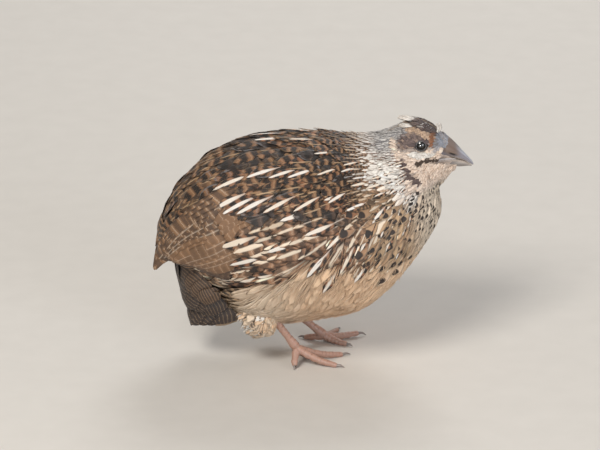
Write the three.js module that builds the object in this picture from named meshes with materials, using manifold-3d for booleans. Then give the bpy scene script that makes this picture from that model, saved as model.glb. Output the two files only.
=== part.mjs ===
// A life-size coturnix quail hen, hunched in mid-step, her near foot pushing off.
// Millimetres. +X runs to the bill, +Y to her left side and +Z up from the floor.
// Her feathered body is one lofted form, parted by thin cuts into torso, neck and head.

import * as THREE from "three";
import { mergeVertices } from "three/addons/utils/BufferGeometryUtils.js";
import Module from "manifold-3d";

const wasm = await Module();
wasm.setup();

const { Vector3 } = THREE;
const { cos, sin, sqrt, abs, min, max, PI } = Math;
const { lerp: mix, smoothstep } = THREE.MathUtils;

// What touching pieces keep between them.
const GAP = 0.3;

// The body's sections from rump to bill: where each meets the back line and the belly line
// in the side view, its half width, and how far above its middle it is widest, from -1 to 1.
const SECTIONS = [
  { back: [-60.5, 50.0], belly: [-60.5, 50.0], half: 0.0, widest: 0.0 },
  { back: [-59.0, 63.0], belly: [-50.0, 43.0], half: 12.0, widest: 0.1 },
  { back: [-52.0, 77.0], belly: [-40.5, 34.0], half: 20.5, widest: 0.1 },
  { back: [-40.0, 89.5], belly: [-31.0, 23.0], half: 27.5, widest: 0.1 },
  { back: [-25.0, 97.0], belly: [-20.5, 15.0], half: 32.0, widest: 0.1 },
  { back: [-9.0, 100.0], belly: [-6.0, 15.5], half: 34.5, widest: 0.06 },
  { back: [8.0, 100.5], belly: [10.0, 18.0], half: 35.0, widest: 0.02 },
  { back: [21.5, 99.5], belly: [27.0, 22.5], half: 33.5, widest: -0.02 },
  { back: [31.0, 100.0], belly: [42.0, 36.0], half: 29.5, widest: -0.06 },
  { back: [37.0, 102.0], belly: [54.0, 52.5], half: 23.5, widest: -0.1 },
  { back: [41.0, 104.0], belly: [60.0, 65.5], half: 17.5, widest: -0.12 },
  { back: [45.5, 106.5], belly: [59.6, 76.0], half: 12.4, widest: -0.1 },
  { back: [50.5, 107.5], belly: [62.0, 79.5], half: 10.6, widest: 0.1 },
  { back: [56.0, 105.0], belly: [64.5, 83.0], half: 9.2, widest: 0.1 },
  { back: [60.5, 100.0], belly: [66.8, 86.0], half: 6.0, widest: 0.0 },
  { back: [64.0, 92.5], belly: [64.0, 92.5], half: 0.0, widest: 0.0 },
];

// Where the neck parts from the torso and from the head, as lines from back to belly.
const NECK_CUT = { back: [30.5, 103.5], belly: [60.5, 66.0] };
const HEAD_CUT = { back: [39.5, 106.5], belly: [58.6, 75.0] };

function sectionCurve(pick) {
  return new THREE.CatmullRomCurve3(SECTIONS.map(pick), false, "catmullrom", 0.5);
}
const backLine = sectionCurve((s) => new Vector3(s.back[0], 0, s.back[1]));
const bellyLine = sectionCurve((s) => new Vector3(s.belly[0], 0, s.belly[1]));
const girth = sectionCurve((s) => new Vector3(s.half, s.widest, 0));

// A solid for joining and cutting, from a closed geometry whichever way round it is wound.
function solid(geometry) {
  const places = new THREE.BufferGeometry();
  places.setAttribute("position", geometry.getAttribute("position"));
  places.setIndex(geometry.index);
  const merged = mergeVertices(places, 1e-4);
  const corners = Uint32Array.from(merged.index.array);
  const points = new Float32Array(merged.attributes.position.array);
  const made = new wasm.Manifold(
    new wasm.Mesh({ numProp: 3, vertProperties: points, triVerts: corners }),
  );
  if (made.volume() > 0) return made;
  corners.reverse();
  return new wasm.Manifold(
    new wasm.Mesh({ numProp: 3, vertProperties: points, triVerts: corners }),
  );
}

function union(pieces) {
  return wasm.Manifold.union(pieces);
}

// The largest closed surface of a solid, without scraps.
function largest(made) {
  return made.decompose().reduce((a, b) => (a.volume() > b.volume() ? a : b));
}

// A ball whose grid of points is moved to place(along, round), both running from 0 to 1.
function wrapped(place, around, along) {
  const ball = new THREE.SphereGeometry(1, around, along);
  const at = ball.attributes.position;
  for (let i = 0; i < at.count; i++) {
    const row = Math.floor(i / (around + 1));
    const column = (i % (around + 1)) % around;
    const p = place(row / along, column / around);
    at.setXYZ(i, p.x, p.y, p.z);
  }
  return solid(ball);
}

function ellipsoid(centre, radii, around, along) {
  const ball = new THREE.SphereGeometry(1, around, along);
  ball.rotateX(PI / 2);
  ball.scale(...radii);
  ball.translate(...centre);
  return solid(ball);
}

// A point on the body: t runs from rump to bill, turn from the right flank up over the back.
function onBody(t, turn, proud = 0) {
  const back = backLine.getPoint(t);
  const belly = bellyLine.getPoint(t);
  const { x: half, y: widest } = girth.getPoint(t);
  const lift = sin(turn);
  const level = widest + (lift > 0 ? 1 - widest : 1 + widest) * lift;
  const rise = back.clone().sub(belly).multiplyScalar(0.5);
  const p = back.add(belly).multiplyScalar(0.5);
  p.addScaledVector(rise, level * (1 + proud / (rise.length() + 1e-6)));
  p.x += proud * (smoothstep(t, 0.84, 0.93) - smoothstep(1 - t, 0.9, 0.97));
  p.y = -(max(half, 0) + proud) * cos(turn);
  return p;
}

function bodyForm(around, along, proud = 0) {
  function place(v, u) {
    if (v > 0 && v < 1) return onBody(v, u * 2 * PI, proud);
    const end = onBody(v, 0, proud);
    end.y = 0;
    return end;
  }
  return wrapped(place, around, along);
}

// How far out the right flank lies at a place in the side view, or 0 outside the body.
function flank(x, z) {
  let [low, high] = [0, 1];
  for (let i = 0; i < 24; i++) {
    const t = (low + high) / 2;
    const back = backLine.getPoint(t);
    const belly = bellyLine.getPoint(t);
    const ahead = (x - belly.x) * (back.z - belly.z) - (z - belly.z) * (back.x - belly.x);
    if (ahead > 0) low = t;
    else high = t;
  }
  const back = backLine.getPoint(low);
  const belly = bellyLine.getPoint(low);
  const { x: half, y: widest } = girth.getPoint(low);
  const level = (2 * (z - belly.z)) / (back.z - belly.z) - 1;
  const lift = (level - widest) / (level > widest ? 1 - widest : 1 + widest);
  return abs(lift) < 1 ? half * sqrt(1 - lift * lift) : 0;
}

// A thin slab across the body along a line of the side view.
function cutAlong({ back, belly }) {
  const slab = new THREE.BoxGeometry(GAP, 120, 90);
  slab.rotateY(Math.atan2(back[0] - belly[0], back[1] - belly[1]));
  slab.translate((back[0] + belly[0]) / 2, 0, (back[1] + belly[1]) / 2);
  return solid(slab);
}

// A sheet two skins thick: place(along, across, face) with face 1 above and -1 below.
function sheetSolid(place, along, across) {
  const points = [];
  const corners = [];
  const at = (i, j, k) => (i * (across + 1) + j) * 2 + k;
  for (let i = 0; i <= along; i++) {
    for (let j = 0; j <= across; j++) {
      points.push(...place(i / along, j / across, 1).toArray());
      points.push(...place(i / along, j / across, -1).toArray());
    }
  }
  const quad = (a, b, c, d) => corners.push(a, b, c, a, c, d);
  for (let i = 0; i < along; i++) {
    for (let j = 0; j < across; j++) {
      const [a, b, c, d] = [[i, j], [i + 1, j], [i + 1, j + 1], [i, j + 1]];
      corners.push(at(...a, 0), at(...b, 0), at(...c, 0), at(...a, 0), at(...c, 0), at(...d, 0));
      corners.push(at(...a, 1), at(...c, 1), at(...b, 1), at(...a, 1), at(...d, 1), at(...c, 1));
    }
    quad(at(i, 0, 0), at(i, 0, 1), at(i + 1, 0, 1), at(i + 1, 0, 0));
    quad(at(i, across, 0), at(i + 1, across, 0), at(i + 1, across, 1), at(i, across, 1));
  }
  for (let j = 0; j < across; j++) {
    quad(at(0, j, 0), at(0, j + 1, 0), at(0, j + 1, 1), at(0, j, 1));
    quad(at(along, j, 0), at(along, j, 1), at(along, j + 1, 1), at(along, j + 1, 0));
  }
  const geometry = new THREE.BufferGeometry();
  geometry.setAttribute("position", new THREE.Float32BufferAttribute(points, 3));
  geometry.setIndex(corners);
  return solid(geometry);
}

// A round limb along a curve, radius(f) giving its half width sideways and its half depth.
function limb(points, side, radius, around, along) {
  const curve = new THREE.CatmullRomCurve3(points.map((p) => new Vector3(...p)));
  const across = new Vector3(...side).normalize();
  function place(v, u) {
    if (v === 0 || v === 1) return curve.getPoint(v);
    const f = (v * along - 1) / (along - 2);
    const [wide, deep] = radius(f);
    const heading = curve.getTangent(f);
    const wing = across.clone().addScaledVector(heading, -across.dot(heading)).normalize();
    const up = new Vector3().crossVectors(heading, wing);
    const p = curve.getPoint(f);
    p.addScaledVector(wing, wide * cos(u * 2 * PI));
    return p.addScaledVector(up, deep * sin(u * 2 * PI));
  }
  return wrapped(place, around, along);
}

// A number read off a short run of [place, value] steps.
function stepped(steps, f) {
  const next = max(1, steps.findIndex((s) => s[0] >= f));
  const [a, b] = [steps[next - 1], steps[next]];
  return mix(a[1], b[1], (f - a[0]) / (b[0] - a[0]));
}

const bird = new THREE.Group();
const paint = {
  plumage: new THREE.MeshStandardMaterial({ color: 0x8f6b49, roughness: 0.9 }),
  flight: new THREE.MeshStandardMaterial({ color: 0x6e5138, roughness: 0.85 }),
  horn: new THREE.MeshStandardMaterial({ color: 0x83796f, roughness: 0.45 }),
  leg: new THREE.MeshStandardMaterial({ color: 0xc89a82, roughness: 0.6 }),
  eye: new THREE.MeshStandardMaterial({ color: 0x120d0a, roughness: 0.08 }),
};

function show(name, made, material) {
  const { vertProperties, triVerts } = largest(made).getMesh();
  const geometry = new THREE.BufferGeometry();
  geometry.setAttribute("position", new THREE.BufferAttribute(new Float32Array(vertProperties), 3));
  geometry.setIndex(new THREE.BufferAttribute(new Uint32Array(triVerts), 1));
  geometry.computeVertexNormals();
  const mesh = new THREE.Mesh(geometry, material);
  mesh.name = name;
  bird.add(mesh);
}

// Head, with its eye sockets, lids, brows and the slit of the gape.
const EYE = { x: 51.4, y: 5.6, z: 98.3, ball: 4.0, lid: 4.75, opening: 2.15 };

function eyeBall(side, radius) {
  return ellipsoid([EYE.x, side * EYE.y, EYE.z], [radius, radius, radius], 14, 9);
}

function lidOpening(side) {
  const hole = new THREE.CylinderGeometry(EYE.opening * 1.12, EYE.opening * 0.9, 8, 12);
  hole.scale(1, 1, 0.86);
  if (side < 0) hole.rotateZ(PI);
  hole.rotateX(0.12);
  hole.translate(EYE.x, side * (EYE.y + 6.5), EYE.z);
  return solid(hole);
}

function brow(side) {
  const ridge = new THREE.SphereGeometry(1, 8, 6);
  ridge.scale(5.2, 1.6, 1.5);
  ridge.rotateY(0.12);
  ridge.translate(EYE.x + 1.2, side * 6.9, EYE.z + 4.1);
  return solid(ridge);
}

function gapeSlit() {
  const slit = new THREE.BoxGeometry(14, 30, GAP);
  slit.rotateY(0.1);
  slit.translate(57.9 + 7, 0, 90.2);
  return solid(slit);
}

function dressHead(form) {
  let head = union([form, brow(1), brow(-1), eyeBall(1, EYE.lid), eyeBall(-1, EYE.lid)]);
  for (const side of [1, -1]) {
    head = head.subtract(eyeBall(side, EYE.ball + GAP)).subtract(lidOpening(side));
  }
  return head.subtract(gapeSlit());
}

// Bill. Each station gives the top and bottom of the mandible in side view and its half width.
const UPPER_BILL = [
  { top: [60.0, 101.0], bottom: [58.5, 90.55], half: 4.6 },
  { top: [63.6, 99.0], bottom: [62.0, 90.4], half: 4.2 },
  { top: [66.2, 96.6], bottom: [65.2, 90.1], half: 3.5 },
  { top: [68.6, 93.9], bottom: [67.9, 89.6], half: 2.7 },
  { top: [71.0, 91.3], bottom: [70.4, 88.7], half: 1.9 },
  { top: [73.2, 88.9], bottom: [72.6, 87.3], half: 1.0 },
  { top: [74.2, 87.2], bottom: [74.0, 86.5], half: 0.35 },
];
const LOWER_BILL = [
  { top: [58.5, 90.25], bottom: [59.5, 86.6], half: 3.9 },
  { top: [62.0, 90.1], bottom: [62.8, 86.4], half: 3.5 },
  { top: [65.2, 89.8], bottom: [66.0, 86.2], half: 2.8 },
  { top: [67.9, 89.3], bottom: [68.4, 86.0], half: 2.1 },
  { top: [70.4, 88.4], bottom: [70.6, 86.1], half: 1.4 },
  { top: [72.4, 87.1], bottom: [72.3, 86.1], half: 0.6 },
];

// A mandible is flat along its cutting edge and arched away from it.
function mandible(stations, arch) {
  const last = stations.length - 1;
  function place(v, u) {
    const f = min(max(v * (last + 2) - 1, 0), last);
    const s = stations[Math.round(f)];
    const [edge, crest] = arch > 0 ? [s.bottom, s.top] : [s.top, s.bottom];
    const round = v === 0 || v === 1 ? 0 : 1;
    const turn = u * 2 * PI;
    const rise = round ? 0.5 - 0.5 * cos(turn) : 0.4;
    const wide = s.half * round * Math.sign(sin(turn)) * sqrt(abs(sin(turn)));
    return new Vector3(mix(edge[0], crest[0], rise), wide, mix(edge[1], crest[1], rise));
  }
  return wrapped(place, 14, last + 2);
}

function operculum(side) {
  const cover = new THREE.SphereGeometry(1, 10, 6);
  cover.scale(3.2, 1.1, 1.7);
  cover.rotateY(0.72);
  cover.translate(64.3, side * 2.9, 94.2);
  return solid(cover);
}

function nostril(side) {
  const slit = new THREE.SphereGeometry(1, 10, 6);
  slit.scale(1.7, 1.2, 0.32);
  slit.rotateY(0.62);
  slit.translate(65.2, side * 3.9, 92.6);
  return solid(slit);
}

function upperBill() {
  const horn = union([mandible(UPPER_BILL, 1), operculum(1), operculum(-1)]);
  return horn.subtract(nostril(1)).subtract(nostril(-1));
}

// Feather vanes. width(f) is the outline from root to tip as a share of the full width.
const VANE_OUTLINE = [[0, 0.45], [0.25, 0.9], [0.55, 1], [0.8, 0.86], [0.93, 0.55], [1, 0.12]];
const VANE_THICK = [[0, 0.9], [0.6, 0.7], [0.9, 0.5], [1, 0.3]];

function vane(points, outward, roll, width, steps, columns) {
  const spine = new THREE.CatmullRomCurve3(points);
  function place(f, g, face) {
    const p = spine.getPoint(f);
    const heading = spine.getTangent(f);
    const out = outward(p).applyAxisAngle(heading, roll);
    const across = new Vector3().crossVectors(heading, out).normalize();
    out.crossVectors(across, heading).normalize();
    const reach = (g - 0.5) * width * stepped(VANE_OUTLINE, f);
    const camber = columns > 1 ? -0.22 * abs(reach) : 0;
    p.addScaledVector(across, reach);
    return p.addScaledVector(out, camber + (face * stepped(VANE_THICK, f)) / 2);
  }
  return sheetSolid(place, steps, columns);
}

// Seeded variation, the same on every run.
function dice(seed) {
  let state = seed;
  return (spread) => {
    state = (state * 1103515245 + 12345) % 2147483648;
    return (state / 1073741824 - 1) * spread;
  };
}

// Wings. Each row runs from its upper feather to its lower one, in the right side view:
// roots, bends and tips as [x, z] pairs, how proud of the flank they lie, and the vane's width.
const WING_ROWS = [
  { count: 3, root: [[0, 66], [6, 61]], bend: [[-20, 58], [-14, 53]],
    tip: [[-46, 48.5], [-34, 45]], proud: [1.2, 1.4], width: 9, steps: 4, columns: 1 },
  { count: 4, root: [[-4, 77], [4, 66]], bend: [[-34, 69], [-18, 58]],
    tip: [[-57, 49], [-39, 49]], proud: [1.6, 2.4], width: 10, steps: 4, columns: 1 },
  { count: 4, root: [[-8, 89], [-4, 79]], bend: [[-46, 84], [-42, 71]],
    tip: [[-62.5, 44], [-57, 51]], proud: [1.8, 3.2], width: 11, steps: 5, columns: 2 },
  { count: 4, root: [[0, 87], [8, 68]], bend: [[-16, 85], [-6, 62]],
    tip: [[-36, 71], [-24, 57]], proud: [2.6, 4.2], width: 10, steps: 3, columns: 1 },
  { count: 4, root: [[11, 85], [16, 72]], bend: [[-2, 86], [5, 68]],
    tip: [[-17, 80], [-9, 63]], proud: [2.0, 5.2], width: 8.5, steps: 3, columns: 1 },
];
const SHINGLE = 0.18;
const TERTIAL_SPREAD = { at: -64, half: 9, slope: 0.8, most: 30 };
const WING_BED = { x: 6, z: 75, long: 17, high: 13, lean: 0.3, thick: 3.4 };

// How far out from the midline the folded wing lies: on the flank, or past the rump beside the tail.
function wingReach(x, z) {
  const beside = TERTIAL_SPREAD.half + TERTIAL_SPREAD.slope * (x - TERTIAL_SPREAD.at);
  return max(flank(x, z), min(beside, TERTIAL_SPREAD.most) * (x < -30 ? 1 : 0));
}

function bodyOutward(p) {
  return new Vector3((p.x + 2) / 64 ** 2, p.y / 36 ** 2, (p.z - 58) / 44 ** 2).normalize();
}

function wingVane(row, k, side, vary) {
  const f = row.count > 1 ? k / (row.count - 1) : 0;
  const pair = (ends) => [mix(ends[0][0], ends[1][0], f), mix(ends[0][1], ends[1][1], f)];
  const [root, bend, tip] = [pair(row.root), pair(row.bend), pair(row.tip)];
  tip[0] += vary(0.8);
  tip[1] += vary(0.6);
  const points = [0, 0.3, 0.6, 0.82, 1].map((s) => {
    const x = (1 - s) ** 2 * root[0] + 2 * s * (1 - s) * bend[0] + s * s * tip[0];
    const z = (1 - s) ** 2 * root[1] + 2 * s * (1 - s) * bend[1] + s * s * tip[1];
    const proud = mix(row.proud[0], row.proud[1], s);
    return new Vector3(x, side * (wingReach(x, z) + proud), z);
  });
  const roll = side * SHINGLE;
  return vane(points, bodyOutward, roll, row.width, row.steps, row.columns);
}

function wingBed(side) {
  const { x: cx, z: cz, long, high, lean, thick } = WING_BED;
  function place(v, u) {
    const depth = cos(v * PI);
    const reach = sin(v * PI);
    const [a, b] = [long * reach * cos(u * 2 * PI), high * reach * sin(u * 2 * PI)];
    const x = cx + a * cos(lean) - b * sin(lean);
    const z = cz + a * sin(lean) + b * cos(lean);
    return new Vector3(x, side * (flank(x, z) + thick * depth), z);
  }
  return wrapped(place, 14, 6);
}

function wing(side, seed) {
  const vary = dice(seed);
  const vanes = WING_ROWS.flatMap((row) =>
    Array.from({ length: row.count }, (_, k) => wingVane(row, k, side, vary)),
  );
  return union([wingBed(side), ...vanes]);
}

// Tail: a cupped fan round the rump. Its right half's roots and tips, from outermost to middle.
const TAIL = {
  count: 8,
  roots: [[-27, -14, 22.5], [-36, -12.5, 30], [-44, -8, 38], [-48, 0, 41.5]],
  tips: [[-41, -12, 21.5], [-46, -10.5, 18], [-47, -6, 15], [-46.5, 0, 13.5]],
  bulge: 4.5,
  width: 9.5,
  roll: 0.25,
};

function tailArc(points) {
  const mirrored = points.slice(0, -1).reverse().map(([x, y, z]) => [x, -y, z]);
  return [...points, ...mirrored];
}

function tailVane(k, roots, tips, vary) {
  const f = k / (TAIL.count - 1);
  const a = 2 * f - 1;
  const facing = new Vector3(0.75 * abs(a) - 1, a, -0.15 * abs(a)).normalize();
  const root = roots.getPoint(f);
  const tip = tips.getPoint(f).add(new Vector3(vary(0.5), 0, abs(vary(0.8))));
  const bend = root.clone().lerp(tip, 0.45).addScaledVector(facing, TAIL.bulge);
  const spine = new THREE.QuadraticBezierCurve3(root, bend, tip);
  return vane(spine.getPoints(4), () => facing.clone(), TAIL.roll * a, TAIL.width, 4, 2);
}

function tail() {
  const vary = dice(77);
  const curve = (points) => new THREE.CatmullRomCurve3(points.map((p) => new Vector3(...p)));
  const [roots, tips] = [curve(tailArc(TAIL.roots)), curve(tailArc(TAIL.tips))];
  const vanes = Array.from({ length: TAIL.count }, (_, k) => tailVane(k, roots, tips, vary));
  const base = limb(tailArc(TAIL.roots), [0, 0, 1], () => [3.2, 3.2], 8, 16);
  return union([base, ...vanes]);
}

// Legs. Joints in millimetres: hock, foot joint, then each toe's bend and end and its claw's tip.
const LEGS = {
  right: {
    thigh: [[-15.5, -15, 33], [-15.5, -15, 22], [-13, -14.8, 13.6]],
    hock: [-17, -15.5, 29],
    foot: [-1.3, -14, 7.2],
    toes: {
      inner: { bend: [2.5, -7.5, 1.8], end: [4.8, -2.2, 0.75], claw: [6.0, 0.8, 0.2] },
      middle: { bend: [9, -9.4, 2.7], end: [18.2, -5.2, 0.75], claw: [22.0, -3.4, 0.2] },
      outer: { bend: [7.5, -16, 2.9], end: [15.8, -17.7, 0.75], claw: [19.2, -18.4, 0.2] },
      hind: { bend: [-2.2, -17.2, 4.0], end: [-2.4, -19.4, 1.5], claw: [-2.6, -21.0, 0.2] },
    },
  },
  left: {
    thigh: [[-12, 14.5, 30], [-8.5, 14.2, 21], [-4.5, 13.2, 12.6]],
    hock: [-11, 14, 19.5],
    foot: [10.8, 11, 3.0],
    toes: {
      inner: { bend: [15.4, 8.8, 1.5], end: [20.4, 6.4, 0.75], claw: [23.0, 5.2, 0.2] },
      middle: { bend: [17, 13.6, 1.7], end: [25.4, 17.0, 1.7], claw: [29.0, 18.5, 0.2] },
      outer: { bend: [13.6, 16.5, 1.5], end: [16.4, 23.0, 0.75], claw: [17.8, 26.0, 0.2] },
      hind: { bend: [6.6, 12.6, 1.8], end: [2.2, 14.6, 0.75], claw: [-1.0, 15.8, 0.2] },
    },
  },
};
const THIGH = [[0, 7], [0.4, 8.5], [0.75, 6], [1, 3.2]];
const SHANK = [[0, 2.3], [0.12, 1.9], [0.4, 1.45], [0.75, 1.45], [0.92, 2.0], [1, 1.7]];
const TOE = [[0, 1.75], [0.3, 1.4], [0.7, 1.25], [1, 0.95]];

function toward(a, b, f) {
  return a.map((v, i) => mix(v, b[i], f));
}

// The feathered thigh, ending in a cuff round the bare shank.
function thighForm(leg, proud) {
  const radius = (f) => [stepped(THIGH, f) * 0.85 + proud, stepped(THIGH, f) + proud];
  return limb(leg.thigh, [0, 1, 0], radius, 14, 10);
}

function shank(leg) {
  const bow = toward(leg.hock, leg.foot, 0.5);
  const radius = (f) => [stepped(SHANK, f) * 0.86, stepped(SHANK, f)];
  return limb([leg.hock, bow, leg.foot], [0, 1, 0], radius, 10, 12);
}

// A toe swells over each of its joints and ends in a flat that its claw stands against.
function toe(leg, { bend, end }, joints) {
  const flatten = (f) => 1 + 0.1 * cos(f * joints * 2 * PI);
  const radius = (f) => [stepped(TOE, f) * flatten(f), stepped(TOE, f) * flatten(f)];
  const way = new Vector3(...end).sub(new Vector3(...bend));
  const side = new Vector3(-way.y, way.x, 0.01);
  return limb([leg.foot, bend, end], side.toArray(), radius, 8, 10);
}

function claw({ bend, end, claw: tip }) {
  const way = new Vector3(...end).sub(new Vector3(...bend)).normalize();
  const start = new Vector3(...end).addScaledVector(way, GAP);
  const knee = start.clone().addScaledVector(way, 1.7);
  knee.z += 0.35;
  const side = new Vector3(-way.y, way.x, 0.01);
  const radius = (f) => [mix(0.7, 0.18, f), mix(0.85, 0.18, f)];
  return limb([start.toArray(), knee.toArray(), tip], side.toArray(), radius, 8, 8);
}

const floor = new THREE.BoxGeometry(300, 300, 20);
floor.translate(0, 0, -10);
const belowFloor = solid(floor);

function buildLeg(name, leg, torsoRoom) {
  const thigh = thighForm(leg, 0).subtract(torsoRoom);
  const thighRoom = thighForm(leg, GAP);
  const toes = Object.entries(leg.toes).map(([key, t]) => toe(leg, t, key === "hind" ? 1 : 3));
  const limbs = union([shank(leg), ...toes]).subtract(thighRoom).subtract(torsoRoom);
  show(`thigh_${name}`, thigh, paint.plumage);
  show(`leg_${name}`, limbs.subtract(belowFloor), paint.leg);
  for (const [key, t] of Object.entries(leg.toes)) {
    show(`claw_${key}_${name}`, claw(t).subtract(belowFloor), paint.horn);
  }
}

// The whole bird.
const bodyRoom = bodyForm(36, 44, GAP);
const lengths = bodyForm(36, 44).subtract(cutAlong(NECK_CUT)).subtract(cutAlong(HEAD_CUT));
const [torso, neck, head] = lengths
  .decompose()
  .sort((a, b) => a.boundingBox().min[0] - b.boundingBox().min[0]);
show("torso", torso, paint.plumage);
show("neck", neck, paint.plumage);
show("head", dressHead(head), paint.plumage);
show("bill_upper", upperBill().subtract(bodyRoom), paint.horn);
show("bill_lower", mandible(LOWER_BILL, -1).subtract(bodyRoom), paint.horn);
show("eye_right", eyeBall(-1, EYE.ball), paint.eye);
show("eye_left", eyeBall(1, EYE.ball), paint.eye);
show("wing_right", wing(-1, 11).subtract(bodyRoom), paint.flight);
show("wing_left", wing(1, 23).subtract(bodyRoom), paint.flight);
show("tail", tail().subtract(bodyRoom), paint.flight);
buildLeg("right", LEGS.right, bodyRoom);
buildLeg("left", LEGS.left, bodyRoom);

const extent = new THREE.Box3().setFromObject(bird);
bird.children.forEach((mesh) =>
  mesh.geometry.translate(
    -(extent.min.x + extent.max.x) / 2,
    -(extent.min.y + extent.max.y) / 2,
    -extent.min.z,
  ),
);

export default bird;
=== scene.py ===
# A life-size coturnix quail hen with her feathers, in the pose and light of a studio still.
# Shapes are worked out in millimetres, as in the solids, and moved into the frame at the end.

import functools
import math

import bpy
import numpy as np
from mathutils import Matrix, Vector


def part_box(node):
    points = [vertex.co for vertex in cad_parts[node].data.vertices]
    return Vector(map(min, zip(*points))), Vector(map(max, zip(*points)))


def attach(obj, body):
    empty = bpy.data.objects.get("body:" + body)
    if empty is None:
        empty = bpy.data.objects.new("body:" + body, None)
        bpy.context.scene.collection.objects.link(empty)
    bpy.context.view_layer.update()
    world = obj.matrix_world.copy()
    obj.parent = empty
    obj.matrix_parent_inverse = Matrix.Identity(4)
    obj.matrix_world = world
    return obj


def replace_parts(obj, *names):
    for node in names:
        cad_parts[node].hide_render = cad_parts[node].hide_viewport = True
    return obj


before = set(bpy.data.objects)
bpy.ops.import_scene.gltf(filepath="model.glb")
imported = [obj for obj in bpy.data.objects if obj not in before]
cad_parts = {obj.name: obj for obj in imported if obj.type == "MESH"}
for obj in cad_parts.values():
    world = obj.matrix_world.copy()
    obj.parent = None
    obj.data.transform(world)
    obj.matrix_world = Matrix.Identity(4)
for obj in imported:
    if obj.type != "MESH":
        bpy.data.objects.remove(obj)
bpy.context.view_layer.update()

MM = 0.001

# Driving dimensions, in millimetres: +X to the bill, +Y to her left, +Z up from the floor.
# The body's sections from rump to bill: the back line and the belly line in side view as
# (x, z), the half width, and how far above its middle the section is widest, from -1 to 1.
SECTIONS = [
    ((-60.5, 50.0), (-60.5, 50.0), 0.0, 0.0),
    ((-59.0, 63.0), (-50.0, 43.0), 12.0, 0.1),
    ((-52.0, 77.0), (-40.5, 34.0), 20.5, 0.1),
    ((-40.0, 89.5), (-31.0, 23.0), 27.5, 0.1),
    ((-25.0, 97.0), (-20.5, 15.0), 32.0, 0.1),
    ((-9.0, 100.0), (-6.0, 15.5), 34.5, 0.06),
    ((8.0, 100.5), (10.0, 18.0), 35.0, 0.02),
    ((21.5, 99.5), (27.0, 22.5), 33.5, -0.02),
    ((31.0, 100.0), (42.0, 36.0), 29.5, -0.06),
    ((37.0, 102.0), (54.0, 52.5), 23.5, -0.1),
    ((41.0, 104.0), (60.0, 65.5), 17.5, -0.12),
    ((45.5, 106.5), (59.6, 76.0), 12.4, -0.1),
    ((50.5, 107.5), (62.0, 79.5), 10.6, 0.1),
    ((56.0, 105.0), (64.5, 83.0), 9.2, 0.1),
    ((60.5, 100.0), (66.8, 86.0), 6.0, 0.0),
    ((64.0, 92.5), (64.0, 92.5), 0.0, 0.0),
]
BACK_LINE = np.array([back for back, belly, half, widest in SECTIONS])
BELLY_LINE = np.array([belly for back, belly, half, widest in SECTIONS])
BREADTH = np.array([(half, widest) for back, belly, half, widest in SECTIONS])
EYE = {"x": 51.4, "y": 5.6, "z": 98.3, "ball": 4.0, "opening": 2.0, "cornea": 0.35}
BILL_BASE = np.array([62.0, 0.0, 93.0])

# Camera: the photograph's viewing angle, a long lens, and the width it frames at the bird.
VIEW = {"elevation": 21.0, "distance": 2000.0, "target": (0.0, 0.0, 58.9), "frame": 258.0,
        "sensor": 36.0}

RNG = np.random.default_rng(7)


# Curves and small numeric helpers.

def catmull(points, f):
    """Points on the uniform spline through the rows of points, at f from 0 to 1."""
    points = np.asarray(points, float)
    last = len(points) - 1
    ends = [2 * points[0] - points[1], *points, 2 * points[-1] - points[-2]]
    padded = np.asarray(ends)
    f = np.clip(np.asarray(f, float), 0, 1) * last
    i = np.minimum(f.astype(int), last - 1)
    w = (f - i)[..., None]
    p0, p1, p2, p3 = (padded[i + k] for k in range(4))
    m1, m2 = 0.5 * (p2 - p0), 0.5 * (p3 - p1)
    a = 2 * p1 - 2 * p2 + m1 + m2
    b = -3 * p1 + 3 * p2 - 2 * m1 - m2
    return ((a * w + b) * w + m1) * w + p1


def smooth(value, low, high):
    x = np.clip((value - low) / (high - low), 0, 1)
    return x * x * (3 - 2 * x)


def mix(a, b, f):
    return a + (b - a) * f


def unit(v):
    return v / np.maximum(np.linalg.norm(v, axis=-1, keepdims=True), 1e-9)


def rings(rows, columns, first=0.0, last=1.0):
    """Places along a tube and turns round it, as two grids of rows by columns."""
    return np.meshgrid(np.linspace(first, last, rows),
                       np.linspace(0, 2 * math.pi, columns, endpoint=False), indexing="ij")


def folded(place):
    """The coordinates of places, with her right and left sides folded onto one."""
    return place[..., 0], np.abs(place[..., 1]), place[..., 2]


def from_bill(place):
    """How far places are from the base of the bill."""
    return np.linalg.norm(place - BILL_BASE, axis=-1)


def table(pairs, value):
    """Reads a line that is drawn through pairs of numbers."""
    return np.interp(value, *zip(*pairs))


def tabled(columns, rows):
    """Named rows of values, each as a dictionary by the names of the columns."""
    return {name: dict(zip(columns.split(), row)) for name, row in rows.items()}


def linear(hex_colour):
    """An sRGB hex colour as linear red, green and blue."""
    raw = np.array([int(hex_colour[i:i + 2], 16) for i in (0, 2, 4)]) / 255
    return np.where(raw <= 0.04045, raw / 12.92, ((raw + 0.055) / 1.055) ** 2.4)


# The body's surface.

def on_body(t, turn, proud=0.0):
    """Points of the body: t runs from rump to bill, turn from the right flank over the back."""
    back, belly, size = (catmull(line, t) for line in (BACK_LINE, BELLY_LINE, BREADTH))
    half, widest = np.maximum(size[..., 0], 0), size[..., 1]
    lift = np.sin(turn)
    level = widest + np.where(lift > 0, 1 - widest, 1 + widest) * lift
    rise = (back - belly) / 2
    reach = np.linalg.norm(rise, axis=-1) + 1e-6
    centre = (back + belly) / 2 + rise * (level * (1 + proud / reach))[..., None]
    y = -(half + proud) * np.cos(turn)
    return np.stack([centre[..., 0], y, centre[..., 1]], axis=-1)


FLANK_STEPS = np.linspace(0.004, 0.996, 500)


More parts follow.
